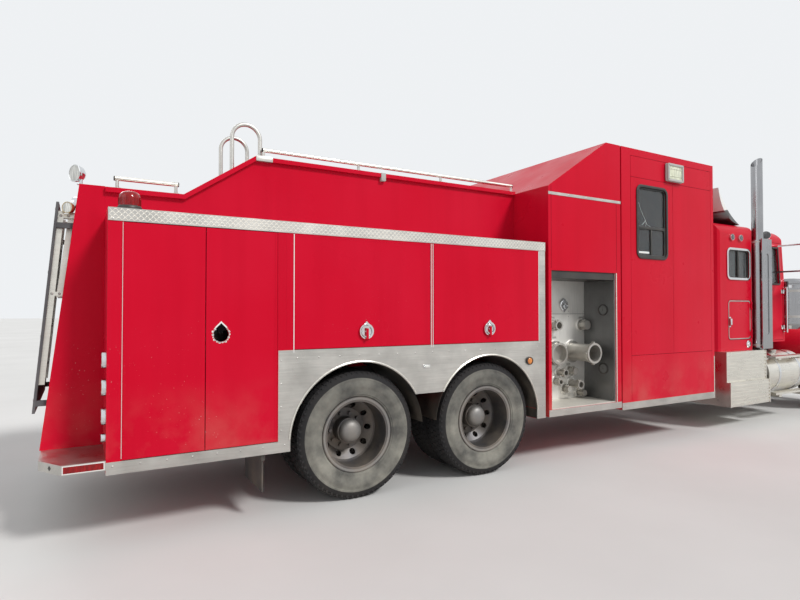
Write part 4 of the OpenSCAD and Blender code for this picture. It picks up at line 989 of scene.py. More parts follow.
def frame_ring(low, high, corner, width, depth, y=0.0):
    """A rounded rectangular frame in the X-Z plane: (x, z) corners, drawn out along +Y from y."""
    (x0, z0), (x1, z1) = low, high
    idle()
    bpy.ops.mesh.primitive_plane_add(size=1, location=((x0 + x1) / 2, 0, (z0 + z1) / 2),
                                     rotation=(-math.pi / 2, 0, 0))
    bpy.context.object.scale = (x1 - x0, z1 - z0, 1)
    obj = settle(bpy.context.object)
    edit(obj, "VERT", True)
    if corner:
        bpy.ops.mesh.bevel(offset=corner, segments=6, affect="VERTICES")
    bpy.ops.mesh.select_mode(type="FACE")
    bpy.ops.mesh.select_all(action="SELECT")
    bpy.ops.mesh.inset(thickness=width, use_boundary=True)
    bpy.ops.mesh.delete(type="FACE")
    bpy.ops.mesh.select_all(action="SELECT")
    bpy.ops.mesh.extrude_region_move(TRANSFORM_OT_translate={"value": (0, depth, 0)})
    bpy.ops.mesh.select_all(action="SELECT")
    bpy.ops.mesh.normals_make_consistent(inside=False)
    idle()
    obj = bevelled(obj, min(width, depth) * 0.25)
    return shifted(obj, (0, y, 0)) if y else obj


class TRUCK_OT_windows(bpy.types.Operator):
    """Rubber and bright frames, sliding sashes and blinds of the side windows"""
    bl_idname = "truck.windows"
    bl_label = "Side windows"

    # lines along which the upper pane on the right is cracked: (x, z) of each
    CRACKS = (((0.115, 2.860), (0.150, 2.780), (0.190, 2.720), (0.235, 2.655), (0.262, 2.610), (0.330, 2.585)),
              ((0.235, 2.655), (0.205, 2.620), (0.170, 2.598)),
              ((0.235, 2.655), (0.246, 2.622), (0.240, 2.585)))

    def execute(self, context):
        crew = frame_ring((0.046, 2.194), (0.626, 3.066), 0.086, 0.030, 0.012, SKIN_Y)
        both(crew, "crew_window_gasket", "rubber_trim")
        sash = frame_ring((0.072, 2.220), (0.600, 2.572), 0.05, 0.026, 0.014)
        upper = frame_ring((0.072, 2.550), (0.600, 3.040), 0.05, 0.020, 0.012)
        rail = block((0.075, -0.004, 2.548), (0.597, 0.016, 2.580), 0.003)
        slide = block((0.318, 0.000, 2.240), (0.342, 0.012, 2.555), 0.003)
        sashes = shifted(joined([sash, upper, rail, slide]), (0, SKIN_Y - 0.017, 0))
        both(sashes, "crew_window_sash", "black_plastic")
        strip = shifted(block((0.105, 0, 2.262), (0.300, 0.002, 2.285), 0.0005, 1), (0, SKIN_Y - 0.0175, 0))
        both(strip, "crew_window_edge", "white")
        glass_y = -SKIN_Y + 0.0176
        cracks = [pipe([(x, glass_y, z) for x, z in line], 0.0014, 4) for line in self.CRACKS]
        finished(cracks, "crew_window_cracks", "white")
        bunk = frame_ring((2.122, 2.012), (2.708, 2.458), 0.078, 0.032, 0.014, SLEEPER_Y)
        both(bunk, "sleeper_window_frame", "chrome")
        bar = block((2.398, 1.110, 2.040), (2.432, 1.128, 2.430), 0.003)
        inner = frame_ring((2.150, 2.040), (2.680, 2.430), 0.05, 0.016, 0.010, 1.112)
        both([bar, inner], "sleeper_window_sash", "black_plastic")
        # pale grey slats behind the sleeper window, pale partly as a painted reflection of the glass
        slats = row(block((2.160, 1.082, 2.050), (2.390, 1.090, 2.064), 0.002, 1), 20, (0, 0, 0.019))
        other = copy_of(slats, (0.280, 0, 0))
        both([slats, other], "sleeper_blinds", "blind")
        return {"FINISHED"}


class TRUCK_OT_hatches(bpy.types.Operator):
    """Bright edging, lock and handle of the sleeper's luggage hatch, and the round vent cap"""
    bl_idname = "truck.hatches"
    bl_label = "Sleeper hatches"

    def execute(self, context):
        y = SLEEPER_Y
        trim = frame_ring((2.154, 1.189), (2.696, 1.726), 0.047, 0.014, 0.004, y)
        both(trim, "hatch_edging", "bare_metal", "sleeper_hatch")
        plate = block((2.160, y + 0.0005, 1.360), (2.212, y + 0.004, 1.500), 0.0015)
        lever = block((2.168, y + 0.018, 1.388), (2.202, y + 0.030, 1.478), 0.006, 3)
        lock = turned((2.186, y, 1.372), "y", [(0.003, 0.011), (0.009, 0.011), (0.011, 0.008)], 20)
        both([plate, lever, lock], "hatch_handle", "chrome", "sleeper_hatch")
        cap = turned((2.640, y, 1.115), "y", [
            (0.0005, 0.052), (0.006, 0.052), (0.010, 0.046), (0.012, 0.036), (0.020, 0.033),
            (0.023, 0.026), (0.024, 0.006)], 36)
        both(cap, "vent_cap", "chrome")
        return {"FINISHED"}


# Lamps

def round_lamp(place, way, radius, depth):
    """A round lamp: a bezel ring and a domed lens. Gives both parts."""
    bezel = ring(place, way, [(0.0003, radius), (depth * 0.7, radius), (depth * 0.95, radius * 0.97),
                              (depth * 0.95, radius * 0.86), (0.0003, radius * 0.84)], 36)
    dome = turned(place, way, [(0.0005, radius * 0.84), (depth * 0.55, radius * 0.84),
                               (depth * 0.85, radius * 0.70), (depth, radius * 0.40),
                               (depth, radius * 0.10)], 36)
    rings = []
    for share in (0.30, 0.48, 0.66):
        height, inner = depth * (1.0 - 0.42 * share ** 2), radius * share
        rings.append(band(place, way, height - 0.003, height + 0.0006, inner, inner + 0.002, 36))
    return bezel, joined([dome, *rings])


def lamp(stem, place, way, radius, depth, lens, rim="chrome", mark=""):
    """A round lamp and its mirror image, each a bezel and a lens; mark ends their names."""
    bezel, glass = round_lamp(place, way, radius, depth)
    both(bezel, f"{stem}_bezel{mark}", rim)
    both(glass, f"{stem}_lens{mark}", lens)


class TRUCK_OT_lamps(bpy.types.Operator):
    """Tail lamps, side markers, beacons, floodlights, work lights and the roof light bar"""
    bl_idname = "truck.lamps"
    bl_label = "Lamps"

    # height, radius and lens of each tail lamp, on the body's rear face
    TAIL = ((1.254, 0.060, "lens_white"), (1.066, 0.060, "lens_amber"), (0.869, 0.060, "lens_white"),
            (0.723, 0.030, "lens_red"))
    REAR_X = -5.390
    # name, lens; place, radius and turn of the bowl; place, axis and profile of the foot
    SPOTS = (
        ("work_light", "lens_white", ((-5.580, 0.680, 2.615), 0.063, -35),
         ((-5.550, 0.695, 2.530), "z", [(0.0004, 0.026), (0.006, 0.026), (0.010, 0.0125), (0.05, 0.0125)])),
        ("cab_spot", "lens_dark", ((3.130, 1.135, 2.685), 0.058, -30),
         ((3.150, 0.980, 2.665), "y", [(0.0004, 0.034), (0.008, 0.034), (0.012, 0.0128), (0.150, 0.0128)])),
    )

    def tail_lamps(self):
        for index, (z, radius, lens) in enumerate(self.TAIL):
            lamp("tail", (self.REAR_X, 1.160, z), "-x", radius, 0.028, lens, mark=f"_{index}")

    def beacons(self):
        place = (-5.250, 1.140, 2.285)
        base = turned(place, "z", [(0.0054, 0.080), (0.024, 0.082), (0.034, 0.078), (0.040, 0.074)], 40)
        dome = turned(place, "z", [(0.040, 0.073), (0.095, 0.072), (0.118, 0.066), (0.136, 0.052),
                                   (0.143, 0.034), (0.145, 0.010)], 40)
        x, y, _ = place
        rib = block((x - 0.0015, y + 0.0715, 2.330), (x + 0.0015, y + 0.0745, 2.378), 0.0006, 1)
        ribs = round_about(rib, 36, place, (0, 0, 1))
        both(base, "beacon_base", "black_plastic")
        both([dome, ribs], "beacon_dome", "lens_red")

    def markers(self):
        lamp("side_marker", (-1.624, SKIN_Y, 1.084), "y", 0.040, 0.020, "lens_amber", "rubber_trim")
        base = block((-2.885, SKIN_Y + 0.0005, 1.075), (-2.815, SKIN_Y + 0.006, 1.105), 0.002)
        lens = block((-2.879, SKIN_Y + 0.006, 1.079), (-2.821, SKIN_Y + 0.0135, 1.101), 0.004, 3)
        both(base, "arch_marker_base", "chrome")
        both(lens, "arch_marker_lens", "lens_white")
        for index, x in enumerate((2.240, 2.450)):
            lamp("sleeper_lamp", (x, SLEEPER_Y, 2.600), "y", 0.045, 0.026, "lens_dark", mark=f"_{index}")

    def floodlight(self):
        body = block((0.584, SKIN_Y + 0.0005, 3.157), (0.893, SKIN_Y + 0.030, 3.375), 0.012, 3)
        bezel = frame_ring((0.586, 3.159), (0.891, 3.373), 0.016, 0.026, 0.020, SKIN_Y + 0.028)
        lens = block((0.606, SKIN_Y + 0.026, 3.180), (0.871, SKIN_Y + 0.038, 3.352), 0.004, 2)
        tube = [(0, 0.006), (0.004, 0.008), (0.229, 0.008), (0.233, 0.006)]
        tubes = [turned((0.622, SKIN_Y + 0.036, z), "x", tube, 12) for z in (3.222, 3.310)]
        both([body, bezel], "floodlight_housing", "blind")
        both([lens, *tubes], "floodlight_lens", "lens_pale")

    def spot(self, place, radius, turn):
        """A round spot lamp facing the rear, swung about its post: its bowl and its lens."""
        bowl = turned(place, "x", [(-0.0146, radius), (0.0, 1.01 * radius), (0.52 * radius, 0.87 * radius),
                                   (0.87 * radius, 0.53 * radius), (1.01 * radius, 0.12 * radius)], 36)
        rim = ring(place, "-x", [(0.004, radius), (0.016, 1.035 * radius), (0.018, 0.98 * radius),
                                 (0.016, 0.92 * radius), (0.004, 0.92 * radius)], 36)
        lens = turned(place, "-x", [(0.0147, 0.93 * radius), (0.0165, 0.6 * radius),
                                    (0.0175, 0.08 * radius)], 36)
        return swung(joined([bowl, rim]), place, turn), swung(lens, place, turn)

    def work_lights(self):
        for stem, finish, spot, foot in self.SPOTS:
            bowl, lens = self.spot(*spot)
            both([bowl, turned(*foot, 16)], f"{stem}_bowl", "chrome")
            both(lens, f"{stem}_lens", finish)
        bowl, lens = self.spot((-5.6267, -0.720, 2.347), 0.042, 50)
        finished(bowl, "ladder_lamp_bowl", "gold")
        finished(lens, "ladder_lamp_lens", "lens_white")

    def light_bar(self):
        core = block((3.022, -0.648, 2.832), (3.178, 0.648, 2.862), 0.012, 3)
        middle = block((3.024, -0.090, 2.860), (3.176, 0.090, 2.938), 0.016, 3)
        feet = [block((3.062, y - 0.029, 2.8005), (3.138, y + 0.029, 2.834), 0.004) for y in (-0.510, 0.510)]
        finished([core, middle, *feet], "light_bar_base", "black_plastic")
        for name, side in SIDES:
            low, high = sorted((side * 0.096, side * 0.648))
            dome = block((3.024, low, 2.860), (3.176, high, 2.938), 0.022, 4)
            ribs = row(block((3.0225, low + 0.02, 2.872), (3.0265, low + 0.024, 2.925), 0.001, 1), 22,
                       (0, 0.0235, 0))
            more = copy_of(ribs, (0.151, 0, 0))
            finished([dome, ribs, more], f"light_bar_dome_{name}", "lens_red")

    def execute(self, context):
        self.tail_lamps()
        self.beacons()
        self.markers()
        self.floodlight()
        self.work_lights()
        self.light_bar()
        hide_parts("lamps")
        return {"FINISHED"}


# Pump panel

class TRUCK_OT_pump_details(bpy.types.Operator):
    """Flange bolts, coupling lugs, strainers, gauges, a dark side sheet of painted shade, panel seams and
    screws, labels, valve pulls and the drawer latch
    """
    bl_idname = "truck.pump_details"
    bl_label = "Pump panel details"

    PANEL_Y = 0.834
    # x, z, outer radius, inner radius, reach from the panel
    COUPLINGS = (
        (-0.830, 1.100, 0.125, 0.100, 0.090),
        (-0.550, 1.110, 0.115, 0.092, 0.340),
        (-0.860, 1.420, 0.055, 0.038, 0.110),
        (-0.400, 1.420, 0.055, 0.038, 0.090),
        (-0.594, 0.890, 0.045, 0.030, 0.090),
        (-0.767, 0.880, 0.040, 0.028, 0.120),
        (-0.570, 0.740, 0.050, 0.034, 0.160),
        (-0.680, 0.690, 0.038, 0.026, 0.080),
        (-0.825, 0.780, 0.036, 0.024, 0.100),
        (-0.450, 0.630, 0.036, 0.024, 0.090),
    )

    def flange(self, x, z, radius):
        """A coupling's flange with eight bolts on the panel."""
        plate = ring((x, self.PANEL_Y, z), "y", [
            (0.0004, radius + 0.003), (0.0004, radius + 0.024), (0.008, radius + 0.024),
            (0.011, radius + 0.020), (0.011, radius + 0.003)], 40)
        bolt = turned((x + radius + 0.013, self.PANEL_Y, z), "y", [
            (0.010, 0.006), (0.015, 0.006), (0.017, 0.004)], 6)
        return joined([plate, round_about(bolt, 8, (x, self.PANEL_Y, z), (0, 1, 0))])

    def lugs(self, x, z, radius, end):
        """Lugs round a coupling near its end."""
        edge = x + radius
        lug = block((edge - 0.004, end - 0.042, z - 0.009), (edge + 0.014, end - 0.008, z + 0.009), 0.003)
        return round_about(lug, 3 if radius < 0.08 else 4, (x, end, z), (0, 1, 0))

    def strainer(self, x, z, inner):
        """A worn screen deep inside an open intake."""
        depth = self.PANEL_Y + 0.006
        half = inner * 0.66
        disc = turned((x, depth, z), "y", [(0, inner - 0.001), (0.002, inner - 0.001), (0.003, 0.004)], 36)
        bar = block((x - half, depth + 0.003, z - half), (x - half + 0.004, depth + 0.006, z + half), 0.001, 1)
        return joined([disc, row(bar, 9, (inner * 0.165, 0, 0))])

    def gauge(self, z, radius):
        """A pressure gauge facing the rear: its bezel, its dial, and its marks and needle."""
        x, y = -0.3452, 1.114
        place = (x, y, z)
        bezel = ring(place, "-x", [
            (-0.024, radius + 0.0006), (0.006, radius + 0.0006), (0.008, radius - 0.003),
            (0.008, radius - 0.010), (0.0003, radius - 0.011), (-0.024, radius - 0.0004)], 40)
        dial = turned(place, "-x", [(0.0002, radius - 0.010), (0.0022, radius - 0.011), (0.0025, 0.004)], 40)
        tick = block((x - 0.0036, y + radius - 0.020, z - 0.0008),
                     (x - 0.0024, y + radius - 0.013, z + 0.0008))
        ticks = round_about(tick, 24, place, (1, 0, 0))
        needle = block((x - 0.0055, y - 0.001, z - 0.010),
                       (x - 0.0045, y + 0.001, z + radius * 0.62), 0.0003, 1)
        hub = turned(place, "-x", [(0.002, 0.005), (0.007, 0.005), (0.008, 0.003)], 16)
        return bezel, dial, joined([ticks, needle, hub])

    def latch(self, y, x, z):
        """The drawer's latch: a round plate with a tip above and below, and a hinged ring."""
        face, radius = y + 0.022, 0.060
        plate = turned((x, face, z), "y", [(-0.020, radius + 0.0005), (0.001, radius + 0.0005), (0.003, 0.056),
                                           (0.002, 0.044), (0.0015, 0.010)], 40)
        tip = teardrop_tip((x, y + 0.0004, z), radius, 0.021)
        low_tip = copy_of(tip, (0, 0, -2 * TIP_LIFT * radius))
        dee = pipe([(x + a, face + b, z + c) for a, b, c in (
            (-0.030, 0, 0.022), (-0.032, 0.020, 0.005), (-0.028, 0.024, -0.025), (0, 0.025, -0.040),
            (0.028, 0.024, -0.025), (0.032, 0.020, 0.005), (0.030, 0, 0.022))], 0.005)
        both([plate, tip, low_tip, dee], "panel_latch", "chrome")

    def execute(self, context):
        flanges, lugs, screens = [], [], []
        for x, z, outer, inner, reach in self.COUPLINGS:
            flanges.append(self.flange(x, z, outer))
            lugs.append(self.lugs(x, z, outer, self.PANEL_Y + reach))
            if inner > 0.08:
                screens.append(self.strainer(x, z, inner))
        both(flanges, "pump_flanges", "stainless")
        both(lugs, "coupling_lugs", "cast")
        both(screens, "intake_screens", "brown_screen")
        radius = context.scene.truck_sizes.gauge_radius
        for index, z in enumerate((1.595, 0.925)):
            bezel, dial, marks = self.gauge(z, radius)
            both(bezel, f"gauge_bezel_{index}", "black_plastic")
            both(dial, f"gauge_dial_{index}", "dial")
            both(marks, f"gauge_marks_{index}", "black_plastic")
        y = self.PANEL_Y
        # a dark sheet on the bay's forward side wall: painted shade, standing for the shade that wall lies in
        wall = block((-0.3412, y + 0.002, 0.572), (-0.3402, 1.258, 1.929))
        both(wall, "pump_side_painted_shade", "dark_sheet")
        self.latch(y, -0.690, 1.650)
        seam = block((-1.300, y + 0.0002, 1.546), (-0.324, y + 0.0018, 1.554), 0.0006, 1)
        upright = block((-0.952, y + 0.0002, 0.575), (-0.946, y + 0.0018, 1.546), 0.0006, 1)
        screws = [turned((x, y, z), "y", [(0.0002, 0.006), (0.002, 0.005), (0.0028, 0.0015)], 10)
                  for x in (-1.27, -1.02, -0.87, -0.60, -0.35) for z in (0.60, 1.52, 1.58, 1.97)]
        both([seam, upright, *screws], "panel_seams", "bare_metal")
        plates = [block((x, y + 0.0004, z), (x + wide, y + 0.002, z + 0.022), 0.0008, 1)
                  for x, z, wide in ((-0.895, 1.495, 0.070), (-0.435, 1.495, 0.070), (-0.860, 1.270, 0.060),
                                  (-0.640, 0.955, 0.060), (-0.800, 0.935, 0.055), (-0.700, 0.610, 0.060))]
        both(plates, "blank_labels", "aluminium")
        stem = [(0.0004, 0.016), (0.006, 0.016), (0.007, 0.007), (0.060, 0.007)]
        grip = [(0, 0.010), (0.006, 0.022), (0.018, 0.026), (0.030, 0.022), (0.036, 0.008)]
        knobs = []
        for z in (1.420, 1.180, 0.940, 0.700):
            knobs += [turned((-1.180, y, z), "y", stem, 16), turned((-1.180, y + 0.055, z), "y", grip, 20)]
        both(knobs, "valve_pulls", "black_plastic")
        return {"FINISHED"}


# Rear end and roof

class TRUCK_OT_rear_details(bpy.types.Operator):
    """Reflectors on the step's ends, the board's bolts and the ladder's clamps"""
    bl_idname = "truck.rear_details"
    bl_label = "Rear details"

    # height and place along the truck of the board's foot and top, on its rear face
    BOARD = ((0.850, -5.840), (2.390, -5.705))

    def board_x(self, z):
        """Where the leaning board's rear face is at a height."""
        (z0, x0), (z1, x1) = self.BOARD
        return x0 + (z - z0) * (x1 - x0) / (z1 - z0)

    def execute(self, context):
        plate = block((-5.640, 1.2702, 0.530), (-5.396, 1.2711, 0.585), 0.0003, 1)
        both(plate, "step_reflector_plate", "white")
        # the red lens finish glows faintly, so this reflector, which is no lamp, carries a faint painted glow
        red = block((-5.634, 1.2712, 0.536), (-5.402, 1.2722, 0.579), 0.0003, 1)
        both(red, "step_reflector", "lens_red")
        diamond = block((-0.0125, 0.0002, -0.0125), (0.0125, 0.0012, 0.0125), 0.0003, 1)
        diamond = placed(diamond, (-5.7125, 1.160, 0.5575), (0, 45, 58.4))
        both(diamond, "step_diamond", "black_plastic")
        bolts = [turned((self.board_x(z), y, z), "-x", [(-0.002, 0.014), (0.0015, 0.014), (0.0035, 0.010)], 12)
                 for z in (0.94, 1.40, 1.87, 2.34) for y in (-0.66, 0.66)]
        finished(bolts, "board_bolts", "bare_metal")
        clamps = [turned((x, -0.6582, z), "-y", [(0.0002, 0.010), (0.004, 0.010), (0.006, 0.007)], 6)
                  for x, z in ((-5.727, 1.715), (-5.680, 1.715), (-5.676, 2.295), (-5.628, 2.295))]
        finished(clamps, "ladder_clamps", "bare_metal")
        return {"FINISHED"}


class TRUCK_OT_roof_details(bpy.types.Operator):
    """The manhole's lid and clamps, flanges, ends and sleeves of the rails, the coaming's corner and strap"""
    bl_idname = "truck.roof_details"
    bl_label = "Roof details"

    # height of the foot and station of each rail post
    POSTS = ((2.9125, -4.180), (2.9125, -3.270), (2.9125, -2.330), (2.9125, -1.380),
             (2.5225, -5.310), (2.5225, -4.890))
    RAIL_Y = 0.730
    MANHOLE_X = -1.950

    def execute(self, context):
        x, y = self.MANHOLE_X, self.RAIL_Y
        lid = turned((x, 0, 3.020), "z", [(0.0003, 0.270), (0.006, 0.266), (0.012, 0.22), (0.014, 0.05)], 48)
        handle = pipe([(x + a, 0, z) for a, z in ((-0.08, 3.032), (-0.08, 3.070), (0, 3.082), (0.08, 3.070),
                                                  (0.08, 3.032))], 0.008)
        clamp = block((x + 0.255, -0.018, 2.985), (x + 0.296, 0.018, 3.030), 0.004)
        clamps = round_about(clamp, 6, (x, 0, 3.0), (0, 0, 1))
        finished([lid, handle, clamps], "manhole_lid", "aluminium")
        flanges = [turned((x, y, z), "z", [(0.0002, 0.030), (0.005, 0.030), (0.007, 0.024), (0.008, 0.0135),
                                           (0.022, 0.0135)], 20) for z, x in self.POSTS]
        both(flanges, "rail_flanges", "aluminium")
        ends = [turned((x, y, z), way, [(-0.004, 0.0185), (0.003, 0.0185), (0.0045, 0.012)], 16)
                for x, z, way in ((-4.190, 2.980, "-x"), (-1.370, 2.980, "x"), (-5.330, 2.600, "-x"),
                                  (-4.870, 2.600, "x"))]
        both(ends, "rail_ends", "rubber_trim")
        sleeves = [turned((x, y, z), "x", [(0, 0.0175), (long, 0.0175)], 20)
                   for x, z, long in ((-4.186, 2.980, 2.812), (-5.326, 2.600, 0.452))]
        both(sleeves, "rail_sleeves", "bright_sheet")
        corner = block((-4.255, 0.7265, 2.872), (-4.110, 0.7755, 2.916), 0.002)
        both(corner, "coaming_corner", "aluminium")
        strap = block((-3.045, -0.7755, 2.840), (-2.995, -0.6995, 2.9165), 0.003)
        finished(strap, "coaming_strap", "blind")
        return {"FINISHED"}


# Cab, hood and running gear

class TRUCK_OT_cab_details(bpy.types.Operator):
    """Window gaskets, wipers, roof markers, bright mirrors and handles, and the deflector's dark foot"""
    bl_idname = "truck.cab_details"
    bl_label = "Cab details"

    DOOR_Y = 0.980
    SCREEN = (3.950, 2.010, 0.103)      # foot of the windscreen: along, height, lean back per height

    def on_screen(self, y, z, lift):
        """A place in front of the leaning windscreen."""
        x, foot, lean = self.SCREEN
        return (x - lean * (z - foot) + lift, y, z)

    def doors(self):
        """Doors with bright mirrors and handles, their window gaskets and mirror glass."""
        for name, side in SIDES:
            bright = [("chrome", lambda c, n: side * c.y > self.DOOR_Y + 0.001 and c.x < 3.9)]
            door = f"cab_door_{name}"
            dressed_copy(door, f"cab_door_skin_{name}", "red", door, bright)
        gasket = frame_ring((3.138, 1.978), (3.832, 2.562), 0.035, 0.024, 0.008)
        # its upper front corner leans back with the windscreen
        edit(gasket, "VERT")
        for vertex in bmesh.from_edit_mesh(gasket.data).verts:
            vertex.select_set(vertex.co.x > 3.5 and vertex.co.z > 2.3)
        bpy.ops.transform.translate(value=(-0.055, 0, 0))
        idle()
        both(shifted(gasket, (0, self.DOOR_Y + 0.0003, 0)), "door_window_gasket", "rubber_trim",
             "cab_door")
        glass = block((3.7482, 1.370, 2.146), (3.7498, 1.510, 2.614), 0.0004, 1)
        both(glass, "mirror_glass", "mirror_glass", "cab_door")

    def screens(self):
        """Gaskets of the two panes of the windscreen, and two wipers."""
        lean = math.atan(self.SCREEN[2])
        gaskets = []
        for side in (-1, 1):
            part = frame_ring((-0.412, -0.2935), (0.412, 0.2935), 0.066, 0.026, 0.008)
            part.matrix_world = (Matrix.Translation(self.on_screen(side * 0.45, 2.34, 0.0004))
                                 @ Matrix.Rotation(-lean, 4, "Y") @ Matrix.Rotation(math.radians(-90), 4, "Z"))
            gaskets.append(settle(part))
        finished(gaskets, "windscreen_gaskets", "rubber_trim")
        wipers = []
        for y in (0.10, -0.72):
            arm = pipe([self.on_screen(y, 2.046, 0.010), self.on_screen(y + 0.10, 2.075, 0.030),
                        self.on_screen(y + 0.34, 2.130, 0.016)], 0.006, 8)
            blade = pipe([self.on_screen(y + 0.06, 2.090, 0.010), self.on_screen(y + 0.34, 2.128, 0.012),
                          self.on_screen(y + 0.60, 2.165, 0.010)], 0.007, 8)
            wipers += [arm, blade]
        finished(wipers, "wipers", "black_plastic")

    def roof_markers(self):
        bases, lenses = [], []
        for y in (-0.70, -0.35, 0, 0.35, 0.70):
            bases.append(block((3.690, y - 0.048, 2.8003), (3.772, y + 0.048, 2.812), 0.003))
            lenses.append(block((3.696, y - 0.042, 2.811), (3.766, y + 0.042, 2.842), 0.012, 3))
        finished(bases, "roof_marker_bases", "chrome")
        finished(lenses, "roof_marker_lenses", "lens_amber")

    def grab_rails(self):
        rail = turned((3.930, 1.025, 1.2495), "z", [(0, 0.0138), (0.701, 0.0138)], 20)
        foot = [(0, 0.026), (0.006, 0.026), (0.009, 0.0138), (0.046, 0.0138)]
        feet = [turned((3.930, 0.9803, z), "y", foot, 16) for z in (1.280, 1.920)]
        both([rail, *feet], "grab_rails", "chrome")

    def deflector(self):
        """The roof deflector in white, cut along a slope below which it is dark."""
        low = [("dark_sheet", lambda c, n: c.z - 2.98 < (c.x - 2.20) * 0.2 and c.z < 3.06)]
        dressed_copy("roof_deflector", "deflector_skin", "white", "root", low,
                     ((2.20, 0, 2.98), (-0.196, 0, 0.981)))

    def execute(self, context):
        self.doors()
        self.screens()
        self.roof_markers()
        self.grab_rails()
        self.deflector()
        return {"FINISHED"}


class TRUCK_OT_front_details(bpy.types.Operator):
    """Lenses and bezels of the headlamps, the screen behind the grille and the bumper's bolts"""
    bl_idname = "truck.front_details"
    bl_label = "Front details"

    def execute(self, context):
        bezels, lenses = zip(*(round_lamp((5.7202, y, 1.210), "x", 0.076, 0.012) for y in (0.80, 1.00)))
        both(list(bezels), "headlamp_bezels", "chrome", "hood")
        both(list(lenses), "headlamp_lenses", "lens_pale", "hood")
        screen = block((5.7105, -0.398, 0.903), (5.7155, 0.398, 1.797), 0.0)
        finished(screen, "grille_screen", "black_plastic", "hood")
        for index, y in enumerate((0.560, 0.680)):
            both(turned((5.7282, y, 0.700), "x", [(0.0003, 0.018), (0.004, 0.018), (0.008, 0.011)], 16),
                 f"bumper_bolt_{index}", "chrome")
        return {"FINISHED"}


class TRUCK_OT_running_gear(bpy.types.Operator):
    """Tank straps and caps, exhaust clamps, air cleaner bands, sheets and edgings of pump bay and steps"""
    bl_idname = "truck.running_gear"
    bl_label = "Tanks and exhausts"

    def execute(self, context):
        both([band((x, 0.890, 0.660), "x", -0.025, 0.025, 0.3103, 0.3145, 64) for x in (3.350, 3.930)],
             "tank_straps", "chrome")
        cap = turned((3.560, 0.985, 0.9505), "z", [
            (-0.012, 0.050), (0.016, 0.050), (0.018, 0.056), (0.040, 0.056), (0.045, 0.048)], 32)
        both(cap, "filler_caps", "bare_metal")
        both([band((2.945, 1.110, z), "z", 0, 0.022, 0.1203, 0.1235, 48) for z in (1.085, 2.560)],
             "exhaust_clamps", "bare_metal")
        both([band((4.155, 0.965, z), "z", 0, 0.035, 0.1903, 0.1932, 56) for z in (1.475, 1.875)],
             "air_cleaner_bands", "bare_metal")
        rear, front, back_y = -1.300, -0.326, 0.840     # the pump bay's room
        floor = block((rear, back_y, 0.5665), (front, 1.258, 0.5695), 0.0005, 1)
        both(floor, "pump_floor_sheet", "sunlit_sheet")
        header = block((rear, back_y, 1.930), (front, 1.255, 2.0085), 0.002, 1)
        both(header, "pump_top_band", "black_plastic")
        edge = block((-0.3135, 1.2702, 0.560), (-0.2985, 1.2722, 2.010), 0.0005, 1)
        strip = block((1.5650, 1.2702, 0.462), (1.5795, 1.2722, 1.000), 0.0005, 1)
        both([edge, strip], "bay_edgings", "bright_sheet")
        sides = [block((x, y, low), (x + 0.016, y + 0.0095, high), 0.0012, 1)
                 for y, low, high in ((1.2195, 0.625, 1.031), (1.2695, 0.298, 0.626)) for x in (1.9285, 2.9005)]
        both(sides, "step_edgings", "bright_sheet")
        return {"FINISHED"}


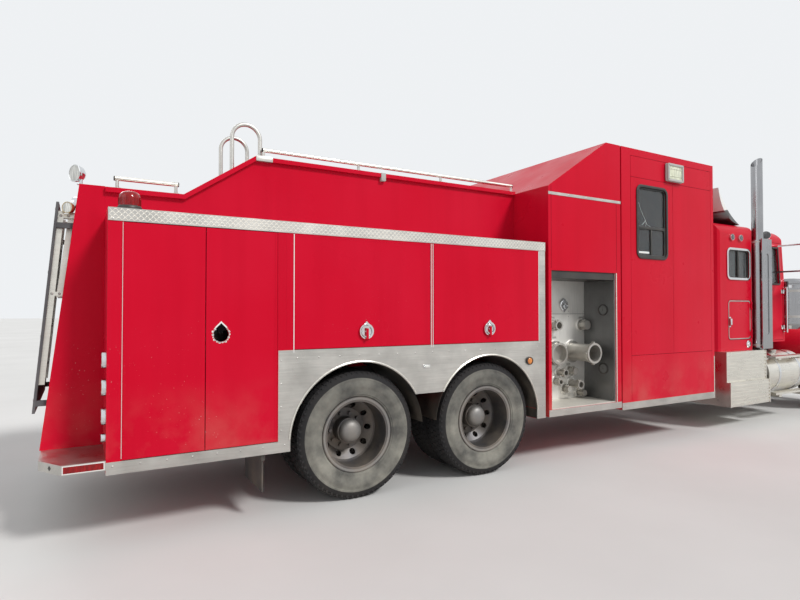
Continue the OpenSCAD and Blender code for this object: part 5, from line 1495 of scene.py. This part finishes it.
class TRUCK_OT_seats(bpy.types.Operator):
    """Padded seats and backs, the dash and the steering wheel"""
    bl_idname = "truck.seats"
    bl_label = "Seats and dash"

    # name, place of the seat's rear foot along, its height, low and high side
    PLACES = (("driver", 3.070, 1.155, 0.250, 0.750), ("mate", 3.070, 1.155, -0.750, -0.250),
              ("bench_left", -0.050, 1.090, 0.340, 1.000), ("bench_middle", -0.050, 1.090, -0.325, 0.325),
              ("bench_right", -0.050, 1.090, -1.000, -0.340))
    PRESSURE = 3.0
    SETTLE_FRAMES = 14

    def cushion(self, size):
        """A closed pad about the origin: a rounded block filled with air by the cloth solver."""
        half = Vector(size) / 2
        part = block(-half, half, 0.03, 3)
        pick(part)
        remesh = part.modifiers.new("grid", "REMESH")
        remesh.mode = "VOXEL"
        remesh.voxel_size = 0.028
        bpy.ops.object.modifier_apply(modifier=remesh.name)
        cloth = part.modifiers.new("air", "CLOTH")
        cloth.settings.use_pressure = True
        cloth.settings.uniform_pressure_force = self.PRESSURE
        cloth.settings.effector_weights.gravity = 0
        for frame_number in range(1, self.SETTLE_FRAMES + 1):
            bpy.context.scene.frame_set(frame_number)
        bpy.ops.object.modifier_apply(modifier=cloth.name)
        smooth = part.modifiers.new("smooth", "SUBSURF")
        smooth.levels = smooth.render_levels = 1
        bpy.ops.object.modifier_apply(modifier=smooth.name)
        return part

    def execute(self, context):
        bases, frames = [], []
        for name, x, z, low, high in self.PLACES:
            middle, wide = (low + high) / 2, high - low
            bases.append(block((x + 0.010, low + 0.02, z + 0.001), (x + 0.410, high - 0.02, z + 0.300), 0.010))
            frames.append(block((x - 0.050, low + 0.04, z + 0.300), (x + 0.480, high - 0.04, z + 0.330), 0.010))
            seat = placed(self.cushion((0.500, wide - 0.02, 0.110)), (x + 0.255, middle, z + 0.392), (0, -3, 0))
            back = placed(self.cushion((0.105, wide - 0.02, 0.560)), (x, middle, z + 0.700), (0, -9, 0))
            for part, kind in ((seat, "seat"), (back, "back")):
                finished(part, f"{kind}_{name}", "cloth")
        finished([*bases, *frames], "seat_bases", "black_plastic", replaces=("seats",))
        dash = block((3.622, -0.898, 1.752), (3.888, 0.898, 1.938), 0.025, 3)
        legs = [block((3.622, y - 0.048, 1.156), (3.898, y + 0.048, 1.765), 0.006) for y in (-0.85, 0.85)]
        finished([dash, *legs], "dash", "black_plastic")
        self.steering()
        return {"FINISHED"}

    def steering(self):
        """The steering wheel with three spokes, and its column."""
        centre = Vector((3.510, 0.500, 1.960))
        idle()
        bpy.ops.mesh.primitive_torus_add(location=(0, 0, 0), major_radius=0.220, minor_radius=0.0155,
                                         major_segments=56, minor_segments=12)
        wheel = settle(bpy.context.object)
        spokes = [pipe([(0, 0, -0.02), (0.11 * math.cos(a), 0.11 * math.sin(a), -0.012),
                        (0.215 * math.cos(a), 0.215 * math.sin(a), 0)], 0.010, 8)
                  for a in (math.radians(90), math.radians(210), math.radians(330))]
        hub = turned((0, 0, 0), "z", [(-0.045, 0.030), (-0.015, 0.045), (0.0, 0.045), (0.006, 0.030)], 28)
        wheel = placed(joined([wheel, *spokes, hub]), centre, (0, -43, 0))
        column = pipe([tuple(centre), (3.630, 0.500, 1.830), (3.750, 0.500, 1.700)], 0.024, 16)
        finished([wheel, column], "steering_wheel", "black_plastic")


# Menu

STEPS = (TRUCK_OT_finishes, TRUCK_OT_stage, TRUCK_OT_tyres, TRUCK_OT_wheel_trim, TRUCK_OT_arches,
         TRUCK_OT_latches, TRUCK_OT_treadplate, TRUCK_OT_rivets, TRUCK_OT_windows, TRUCK_OT_hatches,
         TRUCK_OT_lamps, TRUCK_OT_pump_details, TRUCK_OT_rear_details, TRUCK_OT_roof_details,
         TRUCK_OT_cab_details, TRUCK_OT_front_details, TRUCK_OT_running_gear, TRUCK_OT_seats)
CLASSES = (TruckColours, TruckSizes, *STEPS)


class TRUCK_PT_panel(bpy.types.Panel):
    """The steps that dress the truck, in their order"""
    bl_idname = "TRUCK_PT_panel"
    bl_label = "Fire truck"
    bl_space_type = "VIEW_3D"
    bl_region_type = "UI"
    bl_category = "Fire truck"

    def draw(self, context):
        for step in STEPS:
            self.layout.operator(step.bl_idname)


def register():
    for item in (*CLASSES, TRUCK_PT_panel):
        bpy.utils.register_class(item)
    bpy.types.Scene.truck_colours = bpy.props.PointerProperty(type=TruckColours)
    bpy.types.Scene.truck_sizes = bpy.props.PointerProperty(type=TruckSizes)


def unregister():
    del bpy.types.Scene.truck_sizes
    del bpy.types.Scene.truck_colours
    for item in reversed((*CLASSES, TRUCK_PT_panel)):
        bpy.utils.unregister_class(item)


def main():
    register()
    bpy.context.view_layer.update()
    for step in STEPS:
        group, name = step.bl_idname.split(".")
        getattr(getattr(bpy.ops, group), name)()


if __name__ == "__main__":
    main()
